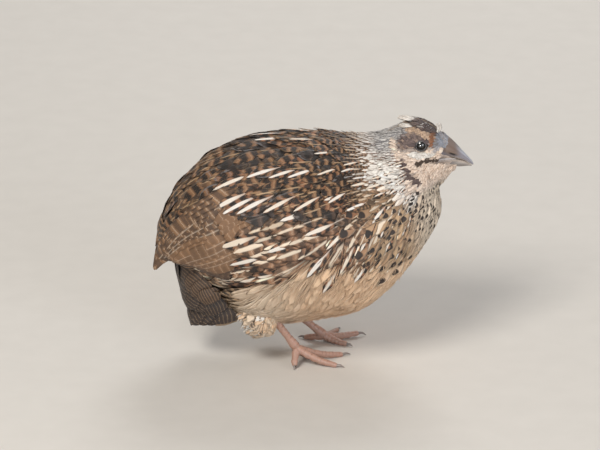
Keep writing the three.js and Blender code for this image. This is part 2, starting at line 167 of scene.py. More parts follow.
def flank(x, z):
    """How far out the flank lies at a place in side view, or 0 outside the body."""
    x, z = np.broadcast_arrays(np.asarray(x, float), np.asarray(z, float))
    back, belly, size = (catmull(line, FLANK_STEPS) for line in (BACK_LINE, BELLY_LINE, BREADTH))
    dx, dz = (back - belly).T
    ahead = (x[..., None] - belly[:, 0]) * dz - (z[..., None] - belly[:, 1]) * dx
    i = np.argmin(np.abs(ahead), axis=-1)
    level = 2 * (z - belly[i, 1]) / np.where(np.abs(dz[i]) < 1e-6, 1e-6, dz[i]) - 1
    widest = size[i, 1]
    lift = (level - widest) / np.where(level > widest, 1 - widest, 1 + widest)
    return np.where(np.abs(lift) < 1, size[i, 0] * np.sqrt(np.clip(1 - lift * lift, 0, 1)), 0)


def grid_faces(rows, columns, wrap=False):
    """Quads of a grid of rows by columns of points, joined round when wrap is set."""
    across = columns if wrap else columns - 1
    i, j = np.meshgrid(np.arange(rows - 1), np.arange(across), indexing="ij")
    a = i * columns + j
    b = i * columns + (j + 1) % columns
    return np.stack([a, b, b + columns, a + columns], axis=-1).reshape(-1, 4)


def shift_to_frame():
    """Where the drawing's origin lies in the frame, read from the eyes."""
    low_r, high_r = (np.array(v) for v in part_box("eye_right"))
    low_l, high_l = (np.array(v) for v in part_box("eye_left"))
    centre = (low_r + high_r + low_l + high_l) / 4 / MM
    return centre - np.array([EYE["x"], 0, EYE["z"]])


SHIFT = shift_to_frame()


def placed(name, data):
    """A new object, put into the scene."""
    obj = bpy.data.objects.new(name, data)
    bpy.context.scene.collection.objects.link(obj)
    return obj


def new_object(name, points, faces, material):
    """A mesh object from points in millimetres and a list of face arrays of equal length."""
    mesh = bpy.data.meshes.new(name)
    loops = np.concatenate([f.reshape(-1) for f in faces])
    sizes = np.concatenate([np.full(len(f), f.shape[1]) for f in faces])
    starts = np.concatenate([[0], np.cumsum(sizes)[:-1]])
    mesh.vertices.add(len(points))
    mesh.vertices.foreach_set("co", ((points + SHIFT) * MM).astype(np.float32).ravel())
    mesh.loops.add(len(loops))
    mesh.loops.foreach_set("vertex_index", loops.astype(np.int32))
    mesh.polygons.add(len(sizes))
    mesh.polygons.foreach_set("loop_start", starts.astype(np.int32))
    mesh.polygons.foreach_set("use_smooth", np.full(len(sizes), True))
    mesh.update(calc_edges=True)
    mesh.validate()
    mesh.materials.append(material)
    obj = placed(name, mesh)
    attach(obj, "root")
    return obj


def paint_points(obj, name, values):
    layer = obj.data.attributes.new(name, "FLOAT_COLOR", "POINT")
    full = np.ones((len(values), 4), np.float32)
    full[:, :values.shape[1]] = values
    layer.data.foreach_set("color", full.ravel())


def map_points(obj, name, uv):
    """A UV map from one pair of numbers for each point."""
    layer = obj.data.uv_layers.new(name=name)
    index = np.empty(len(obj.data.loops), np.int32)
    obj.data.loops.foreach_get("vertex_index", index)
    layer.data.foreach_set("uv", uv[index].astype(np.float32).ravel())


# Materials.

# Where a kind of node differs: the sockets that take its inputs in turn, the number of the
# output that is passed on, and the settings that it always has here.
NODE_KINDS = {
    "Bump": (("Strength", "Distance", "Height"), 0, {}),
    "MapRange": (range(5), 0, {"interpolation_type": "SMOOTHSTEP"}),
    "Mix": ((0, 6, 7), 2, {"data_type": "RGBA"}),
    "TexNoise": (("Scale", "Detail", "Distortion"), 0, {}),
    "TexVoronoi": (("Scale",), 0, {}),
}


def plug(made, inputs):
    """Sets the inputs of a node, or links them to what other nodes give."""
    for key, value in inputs.items():
        if isinstance(value, bpy.types.NodeSocket):
            made.id_data.links.new(value, made.inputs[key])
        else:
            made.inputs[key].default_value = value


def node(tree, kind, *inputs, **settings):
    """Adds a node with its inputs in turn and its settings, and gives its main output.

    A kind in capitals is an operation of the Math node.
    """
    if kind.isupper():
        kind, settings = "Math", {"operation": kind}
    sockets, output, usual = NODE_KINDS.get(kind, (range(3), 0, {}))
    made = tree.nodes.new("ShaderNode" + kind)
    for key, value in {**usual, **settings}.items():
        setattr(made, key, value)
    plug(made, dict(zip(sockets, inputs)))
    return made.outputs[output]


def new_material(name):
    """A material, the node function bound to its tree, and its shader."""
    material = bpy.data.materials.new(name)
    material.use_nodes = True
    tree = material.node_tree
    return material, functools.partial(node, tree), tree.nodes["Principled BSDF"]


def rgba(hex_colour):
    return (*linear(hex_colour), 1.0)


def per_mm(size):
    """The texture scale that gives a pattern a size in millimetres."""
    return 1.0 / (size * MM)


def feather_keratin(name, bars, barbs, spotted, pale=0.09, speckled=0.46):
    """Vanes of barbed keratin: matt, faintly silky, each barb a fine slanting line.

    Barbs lie 0.1 mm apart on the real bird, too fine to show, so they are drawn several times
    as coarse. Each vane carries its own ground, marks and pale shaft streak. The plan holds the
    streak's width, then the strength of the dark bars, of the dark spot or the thin pale cross
    lines, and of the pale fringe.
    """
    material, add, shader = new_material(name)
    vane = add("SeparateXYZ", add("UVMap", uv_map="Vane")).node.outputs
    along = vane[1]
    off = add("ABSOLUTE", add("MULTIPLY_ADD", vane[0], 2.0, -1.0))
    drawn, ground, mark, streak = (add("Attribute", attribute_name=key)
                                   for key in ("plan", "ground", "mark", "streak"))
    fringe, start = (colour.node.outputs["Alpha"] for colour in (drawn, ground))
    width, barring, detail = add("SeparateColor", drawn).node.outputs
    # Pigment is laid down unevenly as a feather grows, which mottles it.
    grain = add("TexNoise", per_mm(1.3), 4.0)
    patches = add("TexNoise", per_mm(5.0), 2.0)
    mottle = add("MapRange", grain, 0.42, 0.7, 0.0, 0.4)
    colour = add("Mix", mottle, ground, add("Mix", 0.5, ground, mark))
    # Dark bars slant forward from the shaft and break up where the pigment is thin.
    slant = add("MULTIPLY_ADD", off, -0.36 / bars, along)
    wander = add("MULTIPLY_ADD", add("SUBTRACT", grain, 0.5), 0.7, start)
    cycle = add("FRACT", add("MULTIPLY_ADD", slant, bars, wander))
    centred = add("ABSOLUTE", add("SUBTRACT", cycle, 0.5))
    broken = add("MULTIPLY", barring, add("MapRange", patches, 0.27, 0.41))
    bar = add("MULTIPLY", add("MapRange", centred, 0.25, 0.32, 1.0, 0.0), broken)
    colour = add("Mix", bar, colour, mark)
    if spotted:
        # One round dark spot lies across the vane, short of the tip.
        down = add("DIVIDE", add("SUBTRACT", along, 0.76), 0.2)
        out = add("DIVIDE", off, 0.78)
        apart = add("ADD", add("MULTIPLY", down, down), add("MULTIPLY", out, out))
        spot = add("MapRange", apart, 0.55, 1.15, 1.0, 0.0)
        colour = add("Mix", add("MULTIPLY", spot, detail), colour, mark)
    else:
        # A thin pale line runs across between the dark bars.
        line = add("MapRange", centred, 0.5 - 0.8 * pale, 0.5 - 0.3 * pale)
        line = add("MULTIPLY", line, detail)
        line = add("MULTIPLY", line, add("MapRange", grain, speckled, 0.58))
        colour = add("Mix", line, colour, streak)
    # The shaft streak is buff at the root, pale ahead, and fills the narrow tip.
    swelling = add("MapRange", along, 0.15, 0.6, 0.4, 1.0)
    filling = add("ADD", swelling, add("MapRange", along, 0.82, 1.0, 0.0, 0.9))
    edge = add("SUBTRACT", add("MULTIPLY", width, filling), off)
    lance = add("MULTIPLY", add("MapRange", edge, -0.1, 0.07), add("MapRange", width, 0.0, 0.04))
    shaft = add("Mix", add("MapRange", along, 0.2, 0.5), add("Mix", 0.6, streak, ground), streak)
    colour = add("Mix", lance, colour, shaft)
    # The fringe is a thin pale edge round the tip and the outer webs.
    rim = add("MAXIMUM", add("MapRange", off, 0.8, 0.92), add("MapRange", along, 0.945, 0.975))
    colour = add("Mix", add("MULTIPLY", rim, fringe), colour, streak)
    # Barbs run out and forward from the shaft.
    strand = add("MULTIPLY_ADD", off, -0.45, along)
    fine = add("SINE", add("MULTIPLY", strand, barbs * 2 * math.pi))
    shade = add("MapRange", fine, -1.0, 1.0, 0.0, 0.16)
    plug(shader, {
        "Base Color": add("Mix", shade, colour, rgba("27211d")),
        "Roughness": 0.62,
        "IOR": 1.54,
        "Specular IOR Level": 0.3,
        "Sheen Weight": 0.08,
        "Sheen Roughness": 0.5,
        "Normal": add("Bump", 0.25, 0.1 * MM, fine),
    })
    return material


def bird_skin():
    """Thin skin under down: matt, soft, taking the colour of the feathers over it."""
    material, add, shader = new_material("downy_skin")
    grain = add("TexNoise", per_mm(0.8), 3.0)
    shade = add("MapRange", grain, 0.3, 0.7, 0.15, 0.45)
    ground = add("Attribute", attribute_name="ground")
    plug(shader, {
        "Base Color": add("Mix", shade, ground, rgba("302924")),
        "Roughness": 0.85,
        "Normal": add("Bump", 0.4, 0.3 * MM, grain),
    })
    return material


def bill_horn():
    """Grown horn over bone: grey, satin, scuffed along the ridge, paler at the cutting edge."""
    material, add, shader = new_material("bill_horn")
    scuffs = add("TexNoise", per_mm(0.9), 6.0, 0.6)
    worn = add("MapRange", scuffs, 0.35, 0.75, 0.0, 0.5)
    ground = add("Attribute", attribute_name="ground")
    plug(shader, {
        "Base Color": add("Mix", worn, ground, rgba("5b5450")),
        "Roughness": add("MapRange", scuffs, 0.3, 0.7, 0.34, 0.55),
        "IOR": 1.54,
        "Normal": add("Bump", 0.35, 0.15 * MM, scuffs),
    })
    return material


def claw_horn():
    """Claw horn: darker grey-brown, satin, with faint growth lines."""
    material, add, shader = new_material("claw_horn")
    grain = add("TexNoise", per_mm(0.5), 4.0)
    plug(shader, {
        "Base Color": add("Mix", add("MapRange", grain, 0.3, 0.7), rgba("6f645d"), rgba("8f857f")),
        "Roughness": 0.38,
        "IOR": 1.54,
        "Normal": add("Bump", 0.2, 0.1 * MM, grain),
    })
    return material


def scaly_skin():
    """Leg skin: pinkish flesh under thin horny scales, slightly shiny, with painted shade in the
    creases between the scales and on the under and back side.
    """
    material, add, shader = new_material("scaly_leg_skin")
    mottle = add("MapRange", add("TexNoise", per_mm(1.6), 5.0), 0.3, 0.7)
    flesh = add("Mix", mottle, rgba("9c786a"), rgba("c49f8d"))
    # The ground attribute carries painted shade: dark in the creases between the scales and a
    # little darker on the under and back side.
    painted_leg_shade = add("Attribute", attribute_name="ground")
    pebbles = add("TexVoronoi", per_mm(0.45))
    plug(shader, {
        "Base Color": add("Mix", painted_leg_shade, rgba("6b4f42"), flesh),
        "Roughness": 0.42,
        "IOR": 1.45,
        "Subsurface Weight": 0.15,
        "Subsurface Radius": (0.9 * MM, 0.4 * MM, 0.25 * MM),
        "Subsurface Scale": 1.0,
        "Normal": add("Bump", 0.25, 0.12 * MM, pebbles),
    })
    return material


def eye_cornea():
    """A wet eye: a near-black pupil in a dark brown iris under a clear, glossy cornea."""
    material, add, shader = new_material("wet_eye")
    ring = add("SeparateColor", add("Attribute", attribute_name="ground"))
    plug(shader, {
        "Base Color": add("Mix", add("MapRange", ring, 0.5, 0.62), rgba("050404"), rgba("2c1a10")),
        "Roughness": 0.04,
        "IOR": 1.376,
        "Coat Weight": 1.0,
        "Coat Roughness": 0.03,
        "Coat IOR": 1.6,
    })
    return material


def lid_skin():
    """Bare lid skin: blue-grey, finely beaded, a little moist."""
    material, add, shader = new_material("eyelid_skin")
    beads = add("TexVoronoi", per_mm(0.35))
    plug(shader, {
        "Base Color": add("Mix", add("MapRange", beads, 0.0, 0.6), rgba("a3a3a7"), rgba("4f4b4b")),
        "Roughness": 0.5,
        "Normal": add("Bump", 0.4, 0.12 * MM, beads),
    })
    return material


def studio_paper():
    """Pale paper sweep: matt and even, with a faint grain."""
    material, add, shader = new_material("studio_paper")
    grain = add("TexNoise", 900.0, 2.0)
    plug(shader, {
        "Base Color": add("Mix", grain, rgba("cfcbc5"), rgba("d6d2cc")),
        "Roughness": 0.9,
    })
    return material


SPOTTED_VANE = feather_keratin("spotted_feather_keratin", 7.0, 34.0, True)
BARRED_VANE = feather_keratin("barred_feather_keratin", 4.0, 34.0, False)
SCAPULAR_VANE = feather_keratin("scapular_feather_keratin", 3.0, 34.0, False)
FLIGHT_VANE = feather_keratin("flight_feather_keratin", 15.0, 90.0, False)
TAIL_VANE = feather_keratin("tail_feather_keratin", 9.0, 60.0, False, pale=0.2, speckled=0.53)
SKIN = bird_skin()
BILL = bill_horn()
CLAW = claw_horn()
LEG = scaly_skin()
CORNEA = eye_cornea()
LID = lid_skin()


# Feather building. Arrays run feather by feather, then station by station from root to tip.

OUTLINES = {
    "round": [(0, 0.35), (0.2, 0.8), (0.5, 1), (0.75, 0.94), (0.9, 0.7), (1, 0.15)],
    "blade": [(0, 0.45), (0.3, 0.8), (0.6, 1), (0.82, 0.78), (0.93, 0.4), (1, 0.04)],
    "flight": [(0, 0.3), (0.12, 0.8), (0.5, 1), (0.82, 0.96), (0.93, 0.75), (1, 0.2)],
    "hair": [(0, 0.5), (0.3, 1), (0.6, 0.8), (0.85, 0.45), (1, 0.05)],
}


def build_vanes(name, spine, up, width, coat, bake, material, outline, columns, thick,
                camber=0.12, fray=0.1, patch=0.003, keep=slice(None)):
    """Closed vanes on the spines that are kept, with their markings and baking patches."""
    spine, up, width, bake = (value[keep] for value in (spine, up, width, bake))
    coat = {key: value[keep] for key, value in coat.items()}
    count, stations = spine.shape[:2]
    f = np.linspace(0, 1, stations)
    heading = unit(np.gradient(spine, axis=1))
    across = unit(np.cross(heading, up))
    up = np.cross(across, heading)
    half = width[:, None] / 2 * table(OUTLINES[outline], f)[None, :]
    u = np.linspace(-1, 1, columns + 1)
    # The edges waver, and the barbs end raggedly at the tip and sweep back from the shaft.
    waver = 0.3 * fray * RNG.normal(size=(count, stations, columns + 1))
    reach = half[..., None] * u * (1 + waver)
    ragged = fray * RNG.normal(size=(count, 1, columns + 1)) * width[:, None, None]
    sweep = ragged * smooth(f, 0.55, 1.0)[None, :, None]
    sweep = sweep - 0.35 * half[..., None] * u ** 2 * smooth(f, 0.3, 1.0)[None, :, None]
    arch = -camber * np.abs(reach) + thick / 2 * (1 - np.abs(u))
    top = (spine[:, :, None] + across[:, :, None] * reach[..., None]
           + heading[:, :, None] * sweep[..., None] + up[:, :, None] * arch[..., None])
    under = spine - up * thick
    points = np.concatenate([top, under[:, :, None]], axis=2).reshape(-1, 3)
    per_row = columns + 2
    base = (np.arange(count) * stations * per_row)[:, None]
    rows = base + np.arange(stations - 1) * per_row
    # The under side is one edge, joined to the left and the right edge of the top.
    edges = [(j, j + 1) for j in range(columns)] + [(columns + 1, 0), (columns, columns + 1)]
    quads = [np.stack([rows + a, rows + b, rows + b + per_row, rows + a + per_row], -1)
             for a, b in edges]
    ring = base + np.arange(per_row)
    ends = [ring[:, ::-1], ring + (stations - 1) * per_row]
    quads = np.concatenate([quad.reshape(-1, 4) for quad in quads])
    obj = new_object(name, points, [quads, *ends], material)
    v = np.broadcast_to(f[None, :, None], (count, stations, per_row))
    uu = np.broadcast_to(np.append((u + 1) / 2, 0.5), v.shape)
    map_points(obj, "OFBake", bake_patches(bake, uu, v, patch))
    map_points(obj, "Vane", np.stack([uu, v], -1).reshape(-1, 2))
    coat["ground"] = np.column_stack([coat["ground"], RNG.uniform(0, 1, count)])
    for key, value in coat.items():
        paint_points(obj, key, np.repeat(value, stations * per_row, axis=0))
    return obj


def bake_patches(bake, across, along, patch):
    """Each feather's small square at its root's place on the unwrapped skin."""
    low, high = bake.min(axis=0), bake.max(axis=0)
    place = (bake - low) / np.maximum(high - low, 1e-6) * (1 - patch)
    local = np.stack([across, along], -1) * patch
    return (place[:, None, None, :] + local).reshape(-1, 2)


# Where the coat's feathers root, how they lie and what they wear.

# Feather growth by the distance from the base of the bill: the spacing of the roots, the
# length and the width of a feather, and how deep its root lies under the coat's surface.
GROWTH = {
    "distance": [0, 8, 20, 35, 55, 80, 130],
    "spacing": [0.75, 0.9, 1.1, 1.9, 3.6, 4.8, 5.4],
    "length": [1.5, 2.7, 4.4, 10.0, 17.0, 23.0, 25.0],
    "width": [0.9, 1.5, 2.3, 4.8, 7.6, 9.6, 10.6],
    "depth": [0.6, 0.9, 1.3, 2.2, 2.9, 3.2, 3.4],
}
# The part of a folded wing that the coat leaves bare: the edge of the breast's and flank's
# feathers in front of it as (z, x), the edge of the scapulars over it as (x, z), its lowest
# point, and how far off the middle it begins.
FLANK_EDGE = [(45, -35), (53, -33.5), (61, -29), (67, -26), (68, -16), (72, -6), (79.6, 0)]
SCAPULAR_EDGE = [(-60, 86), (-36, 81.5), (-19, 77.5), (0, 77)]
BARE_WING = {"lowest": 40.0, "off_middle": 12.0}
# The swelling of the coat over the wing, and how far behind a root the next feather grows.
SWELL = {"x": -10.0, "z": 70.0, "long": 36.0, "high": 25.0, "proud": 4.4, "behind": 5.0}
# The rows of roots: the places tried round the body, the step that measures its length there,
# the first and the last row, the share of places whose own spacing is closer than the rows',
# how much closer the rows then stand, and how far a root strays round the body and along it.
ROOTS = {"ring": 361, "step": 0.002, "rows": (0.01, 0.992), "closer": 0.4, "overlap": 0.92,
         "astray": (0.22, 0.2)}
# The end of the rump: where it is, how far round it nothing roots, and how long feathers near
# it may be, from the least by a share of their distance.
RUMP = {"end": np.array([-60.5, 0.0, 50.0]), "bare": 13.0, "least": 1.5, "share": 0.85}


def growth(place, what):
    """One measure of the feathers that grow at a place."""
    return np.interp(from_bill(place), GROWTH["distance"], GROWTH[what])


def on_bare_wing(place):
    """Whether places lie on the part of a folded wing that the coat leaves bare."""
    x, y, z = folded(place)
    inside = (x < table(FLANK_EDGE, z)) & (z < table(SCAPULAR_EDGE, x))
    return inside & (z > BARE_WING["lowest"]) & (y > BARE_WING["off_middle"])


def swell(root, place):
    """How far the feathers lie proud where the coat rests on the folded wing."""
    x, y, z = folded(place)
    wide = ((x - SWELL["x"]) / SWELL["long"]) ** 2
    tall = ((z - SWELL["z"]) / SWELL["high"]) ** 2
    before = root - lie_of_coat(root) * SWELL["behind"]
    rests = ~(on_bare_wing(root) | on_bare_wing(before))
    return SWELL["proud"] * np.exp(-wide - tall) * smooth(y, 8, 22) * rests[:, None]


def body_roots():
    """Roots in staggered rows over the whole body, as t and turn."""
    ring = np.linspace(0, 2 * math.pi, ROOTS["ring"])
    round_it, along_it = ROOTS["astray"]
    ts, turns = [], []
    t, last = ROOTS["rows"]
    row = 0
    while t < last:
        here, ahead = (on_body(np.full(len(ring), at), ring) for at in (t, t + ROOTS["step"]))
        spacing = growth(here, "spacing")
        arc = np.linalg.norm(np.diff(here, axis=0), axis=1) / (spacing[1:] + spacing[:-1]) * 2
        total = np.concatenate([[0], np.cumsum(arc)])
        count = max(int(total[-1]), 5)
        stray = RNG.uniform(-round_it, round_it, count)
        marks = (np.arange(count) + 0.5 * (row % 2) + stray) / count
        turns.append(np.interp(marks % 1 * total[-1], total, ring))
        steps = spacing * ROOTS["step"] / (np.linalg.norm(ahead - here, axis=1) + 1e-6)
        step = np.quantile(steps, ROOTS["closer"])
        ts.append(t + RNG.uniform(-along_it, along_it, count) * step)
        t += step * ROOTS["overlap"]
        row += 1
    return np.clip(np.concatenate(ts), 0.006, 0.994), np.concatenate(turns)


# The small step in t and in turn over which the surface's slope is measured.
PROBE = 0.001


def lie_of_coat(place):
    """The direction of the feathers: back over the body, down the breast, out from the bill."""
    x, z = place[..., 0], place[..., 2]
    flank_dip = mix(20.0, 64.0, smooth((x - 2) / 22 + (62 - z) / 20, -0.2, 1.0))
    back_dip = mix(6.0, 24.0, smooth(x, -30, 30))
    dip = np.radians(mix(flank_dip, back_dip, smooth(z, 66, 88)))
    dip = mix(dip, math.radians(80), smooth(x, 30, 56) * smooth(z, 30, 46) * smooth(94 - z, 0, 16))
    dip = mix(dip, math.radians(4), smooth(34 - z, 0, 12))
    body = np.stack([-np.cos(dip), np.zeros_like(dip), -np.sin(dip)], axis=-1)
    head = unit(place - BILL_BASE)
    on_head = smooth(40 - from_bill(place), 0, 22)[..., None]
    return unit(mix(body, head, on_head))


def march(t, turn, length, stations, sink=0.0):
    """Follows the lie of the coat over the body from each root, as t and turn by station.

    A feather with some sink runs that much more downward than the coat round it.
    """
    path = [(t, turn)]
    step = (length / (stations - 1))[:, None]
    for _ in range(stations - 1):
        here = on_body(t, turn)
        along = (on_body(t + PROBE, turn) - here) / PROBE
        around = (on_body(t, turn + PROBE) - here) / PROBE
        move = unit(lie_of_coat(here) - np.multiply.outer(sink, [0.0, 0.0, 1.0])) * step
        aa, ab, bb = (along ** 2).sum(-1), (along * around).sum(-1), (around ** 2).sum(-1)
        ma, mb = (move * along).sum(-1), (move * around).sum(-1)
        det = aa * bb - ab * ab + 1e-6
        t = np.clip(t + (ma * bb - mb * ab) / det, 0.004, 0.996)
        turn = turn + np.clip((mb * aa - ma * ab) / det, -0.6, 0.6)
        path.append((t, turn))
    ts, turns = zip(*path)
    return np.stack(ts, axis=1), np.stack(turns, axis=1)


# Plumage colours, read as what pigment and structure give on a hen in fresh feather.
PLUMAGE = {
    "black": "1f1814", "dark_brown": "3a2c25", "umber": "634a36", "wing_brown": "8a6748",
    "rufous": "8f6144", "buff": "bd9f7c", "warm_buff": "aa8465", "cream": "e8d7c1",
    "white": "ede7df", "grey": "9d9b9d", "pale_grey": "cbc7c3", "crown": "5d4f4f",
    "blue_grey": "a6aab5", "ear": "83716a", "belly": "efcaa5", "throat": "f0dccb",
    "brow": "c8ab93",
}
SHADES = {name: linear(value) for name, value in PLUMAGE.items()}


def near_line(x, z, points, reach):
    """A soft weight around a line drawn in side view."""
    best = np.full(x.shape, np.inf)
    for (x0, z0), (x1, z1) in zip(points[:-1], points[1:]):
        dx, dz = x1 - x0, z1 - z0
        f = np.clip(((x - x0) * dx + (z - z0) * dz) / (dx * dx + dz * dz), 0, 1)
        best = np.minimum(best, np.hypot(x - x0 - f * dx, z - z0 - f * dz))
    return smooth(reach * 1.3 - best, 0, reach * 0.6)


BELLY_EDGE = [(-40, 29), (-33, 32), (-16, 44), (0, 51), (31, 50), (41, 52), (52, 50)]
PLAIN = (0.0, 0.0, 0.0, 0.0)
# Lines in side view on the back, the neck and the head, and how far each side they reach.
DARK_BACK = ([(-26, 93), (-4, 92.5), (18, 90)], 6.0)
STREAKED_NECK = ([(33, 90), (40, 88), (45, 80)], 4.5)
PALE_NAPE = ([(39.3, 100), (41, 96.8), (43.5, 95)], 1.5)
CROWN = ([(47, 108), (51, 107.5), (59, 102.8)], 3.6)
BROW = ([(45, 105.2), (50.5, 104), (53.1, 102.6), (56.2, 101.2)], 1.1)
EAR = ([(43.6, 100.1), (46.5, 101), (49.4, 100.6)], 2.6)
# The face's fine marks, each over the ones before: its line and how far it reaches, its
# strength, and its ground and mark colours.
FACE_MARKS = {
    "line behind the eye": ([(47.2, 99.4), (49.4, 98.8), (51, 101.2), (53.6, 100.6)], 0.9,
                            1.0, "crown", None),
    "rufous end of the brow": ([(56, 102.4), (55.6, 99)], 1.0, 1.0, "rufous", "umber"),
    "grey at the bill": ([(59.2, 101.4), (60.6, 98.4)], 1.5, 1.0, "blue_grey", None),
    "grey of the lore": ([(58.4, 97.4), (56.8, 96)], 0.9, 0.7, "blue_grey", None),
    "stripe under the eye": ([(46.8, 95.9), (50.3, 94.5), (53.4, 94.4), (56.4, 94.9)], 1.0,
                             1.0, "white", "grey"),
    "line from the gape": ([(49.8, 91.7), (53.6, 92.2), (57.4, 91.9)], 1.0, 1.0, "dark_brown",
                           None),
    "necklace": ([(43.3, 93.6), (44, 91.4), (45.4, 88.8), (47.8, 86.4), (50.3, 84.4)], 1.2,
                 1.0, "crown", None),
}


def belly_of(place):
    """How far a place belongs to the plain belly, from 0 to 1."""
    return smooth(table(BELLY_EDGE, place[..., 0]) - place[..., 2], -2, 3)


def plain_coat(count, ground, mark, streak, plan):
    """The same colours and plan for so many feathers.

    The plan is the width of the shaft streak, then the strength of the bars, of the dark spot
    or the pale cross lines, and of the pale fringe.
    """
    coat = {"ground": SHADES[ground], "mark": SHADES[mark], "streak": SHADES[streak], "plan": plan}
    return {key: np.tile(value, (count, 1)) for key, value in coat.items()}


def lay(coat, weight, ground=None, mark=None, streak=None, plan=None):
    """Blends colours and a plan over what the feathers wear so far, by a weight for each."""
    for key, name in (("ground", ground), ("mark", mark), ("streak", streak)):
        if name:
            coat[key] = mix(coat[key], SHADES[name], weight[:, None])
    if plan:
        coat["plan"] = mix(coat["plan"], np.array(plan), weight[:, None])


def mark_back(coat, x, z):
    """Barred flanks, a black and brown back with thin buff lines, and a browner rump."""
    n = len(x)
    back, belly = np.interp(x, *BACK_LINE[:9].T), np.interp(x, *BELLY_LINE[:10].T)
    height = np.clip((z - belly) / (back - belly), 0, 1)
    lay(coat, RNG.uniform(0, 0.7, n), "rufous", plan=(0.0, 1.0, 0.0, 0.0))
    on_back = smooth(height, 0.6, 0.74)
    lay(coat, on_back, "wing_brown", "black", "buff", (0.04, 1.0, 0.6, 0.1))
    lay(coat, on_back * (RNG.uniform(0, 1, n) < 0.35), "rufous")
    lay(coat, on_back * (RNG.uniform(0, 1, n) < 0.2), "dark_brown", streak="grey",
        plan=(0.0, 1.0, 0.2, 0.4))
    dark = near_line(x, z, *DARK_BACK)
    lay(coat, dark * (RNG.uniform(0, 1, n) < 0.4), "dark_brown", plan=(0.0, 1.0, 0.5, 0.1))
    rump = smooth(-x, 28, 44) * smooth(height, 0.35, 0.55)
    lay(coat, rump, "wing_brown", "dark_brown", "buff", (0.05, 0.7, 0.7, 0.15))


def mark_breast(coat, x, z):
    """Buff with round dark spots between pale shafts, cream towards the front."""
    n = len(x)
    breast = smooth(x, 20, 34) * smooth(94 - z, 0, 10)
    spotted = RNG.uniform(0, 1, n) < 0.4
    lay(coat, breast, "buff", "black", "cream", PLAIN)
    lay(coat, breast * RNG.uniform(0, 0.7, n), "warm_buff")
    lay(coat, breast * smooth(x, 42, 54), "cream")
    lay(coat, breast * spotted, plan=(0.0, 0.0, 1.0, 0.1))
    lay(coat, breast * ~spotted, plan=(0.3, 0.0, 0.0, 0.1))


def mark_belly(coat, place, x, z):
    """Plain cream and peach, with an uneven edge, and a vent with black marks."""
    n = len(x)
    belly = belly_of(place + RNG.normal(0, 1, (n, 3)) * [0.0, 0.0, 1.8])
    lay(coat, belly, "belly", "buff", "cream", PLAIN)
    lay(coat, belly * RNG.uniform(0, 0.3, n), "cream")
    lay(coat, belly * smooth(-x, -12, 22) * RNG.uniform(0.6, 1.0, n), "cream")
    vent = smooth(-x, 26, 36) * smooth(42 - z, 0, 6)
    lay(coat, vent, "buff", "black", "cream", (0.25, 0.9, 0.0, 0.0))
    return belly


def mark_neck(coat, x, z):
    """Buff and pale grey with dark flecks, and white streaks down the sides."""
    neck = smooth(z, 80, 90) * smooth(x, 16, 30)
    lay(coat, neck, "warm_buff", "black", "white", (0.34, 0.6, 0.0, 0.0))
    nape = smooth(z, 93, 99) * smooth(x, 24, 34)
    lay(coat, nape, "grey", "dark_brown", "pale_grey", (0.25, 0.15, 0.2, 0.3))
    lay(coat, near_line(x, z, *STREAKED_NECK), "white", "umber", "white", (0.3, 0.0, 0.12, 0.0))


def mark_head(coat, x, y, z):
    """Grey behind and cream below, a dark crown, a buff brow, a dark ear patch, fine marks."""
    n = len(x)
    head = smooth(x, 41, 46) * smooth(z, 79, 83)
    below = head * smooth(98.5 - z, 0, 2)
    lay(coat, head, "grey", "dark_brown", plan=(0.0, 0.4, 0.0, 0.0))
    lay(coat, below, "throat", "buff", plan=PLAIN)
    lay(coat, below * RNG.choice([0.0, 0.45], n, p=[0.75, 0.25]), "brow")
    lay(coat, near_line(x, z, *PALE_NAPE), "throat", "buff", plan=PLAIN)
    crown = near_line(x, z, *CROWN) * smooth(z - 0.35 * y, 98.6, 100)
    lay(coat, crown, "crown", "black", "buff", (0.0, 0.6, 0.0, 0.2))
    parting = 0.5 * smooth(1.2 - y, 0, 0.6) * smooth(z, 101, 104)
    lay(coat, parting, "buff", plan=PLAIN)
    lay(coat, near_line(x, z, *BROW), "brow", "buff", plan=PLAIN)
    ear = near_line(x, z, *EAR)
    lay(coat, ear, "ear", "crown", plan=(0.0, 0.5, 0.0, 0.0))
    lay(coat, ear * RNG.choice([0.0, 0.7], n, p=[0.6, 0.4]), "crown")
    lay(coat, ear * RNG.choice([0.0, 0.5], n, p=[0.75, 0.25]), "brow")
    for line, reach, strength, ground, mark in FACE_MARKS.values():
        lay(coat, near_line(x, z, line, reach) * strength, ground, mark, plan=PLAIN)
    return head


def plumage(place):
    """What the contour feathers wear at each place on the body, no two quite alike."""
    x, y, z = folded(place)
    coat = plain_coat(len(x), "warm_buff", "black", "cream", (0.3, 0.6, 0.9, 0.0))
    mark_back(coat, x, z)
    mark_breast(coat, x, z)
    belly = mark_belly(coat, place, x, z)
    mark_neck(coat, x, z)
    head = mark_head(coat, x, y, z)
    uneven = mix(mix(0.14, 0.04, belly), 0.08, head)
    shade = 1 + uneven[:, None] * RNG.normal(size=(len(x), 1))
    for key in ("ground", "mark", "streak"):
        coat[key] = np.clip(coat[key] * shade, 0, 1)
    coat["plan"] = np.clip(coat["plan"] * RNG.uniform(0.8, 1.2, (len(x), 4)), 0, 1)
    return coat


# What the feathers of the face keep off: the opening round the eye, looked for above a height,
# the nostril's lid ahead of a line of (z, x) and between two heights, and the bill's edges.
EYE_OPENING = {"radius": 2.5, "above": 80.0}
LID_LINE = [(90, 58.2), (92, 59.4), (96, 61.2)]
LID_SPAN = (90.2, 96.6)
BILL_EDGES = {"ahead": 62.4, "low": 87.4, "high": 90.3, "off_middle": 0.8}


def clear_of_eyes(places):
    """Which feathers keep off the eye and its lid all along their length."""
    off = np.hypot(places[..., 0] - EYE["x"], places[..., 2] - EYE["z"])
    below = places[..., 2].min(axis=1) < EYE_OPENING["above"]
    return (off.min(axis=1) > EYE_OPENING["radius"]) | below


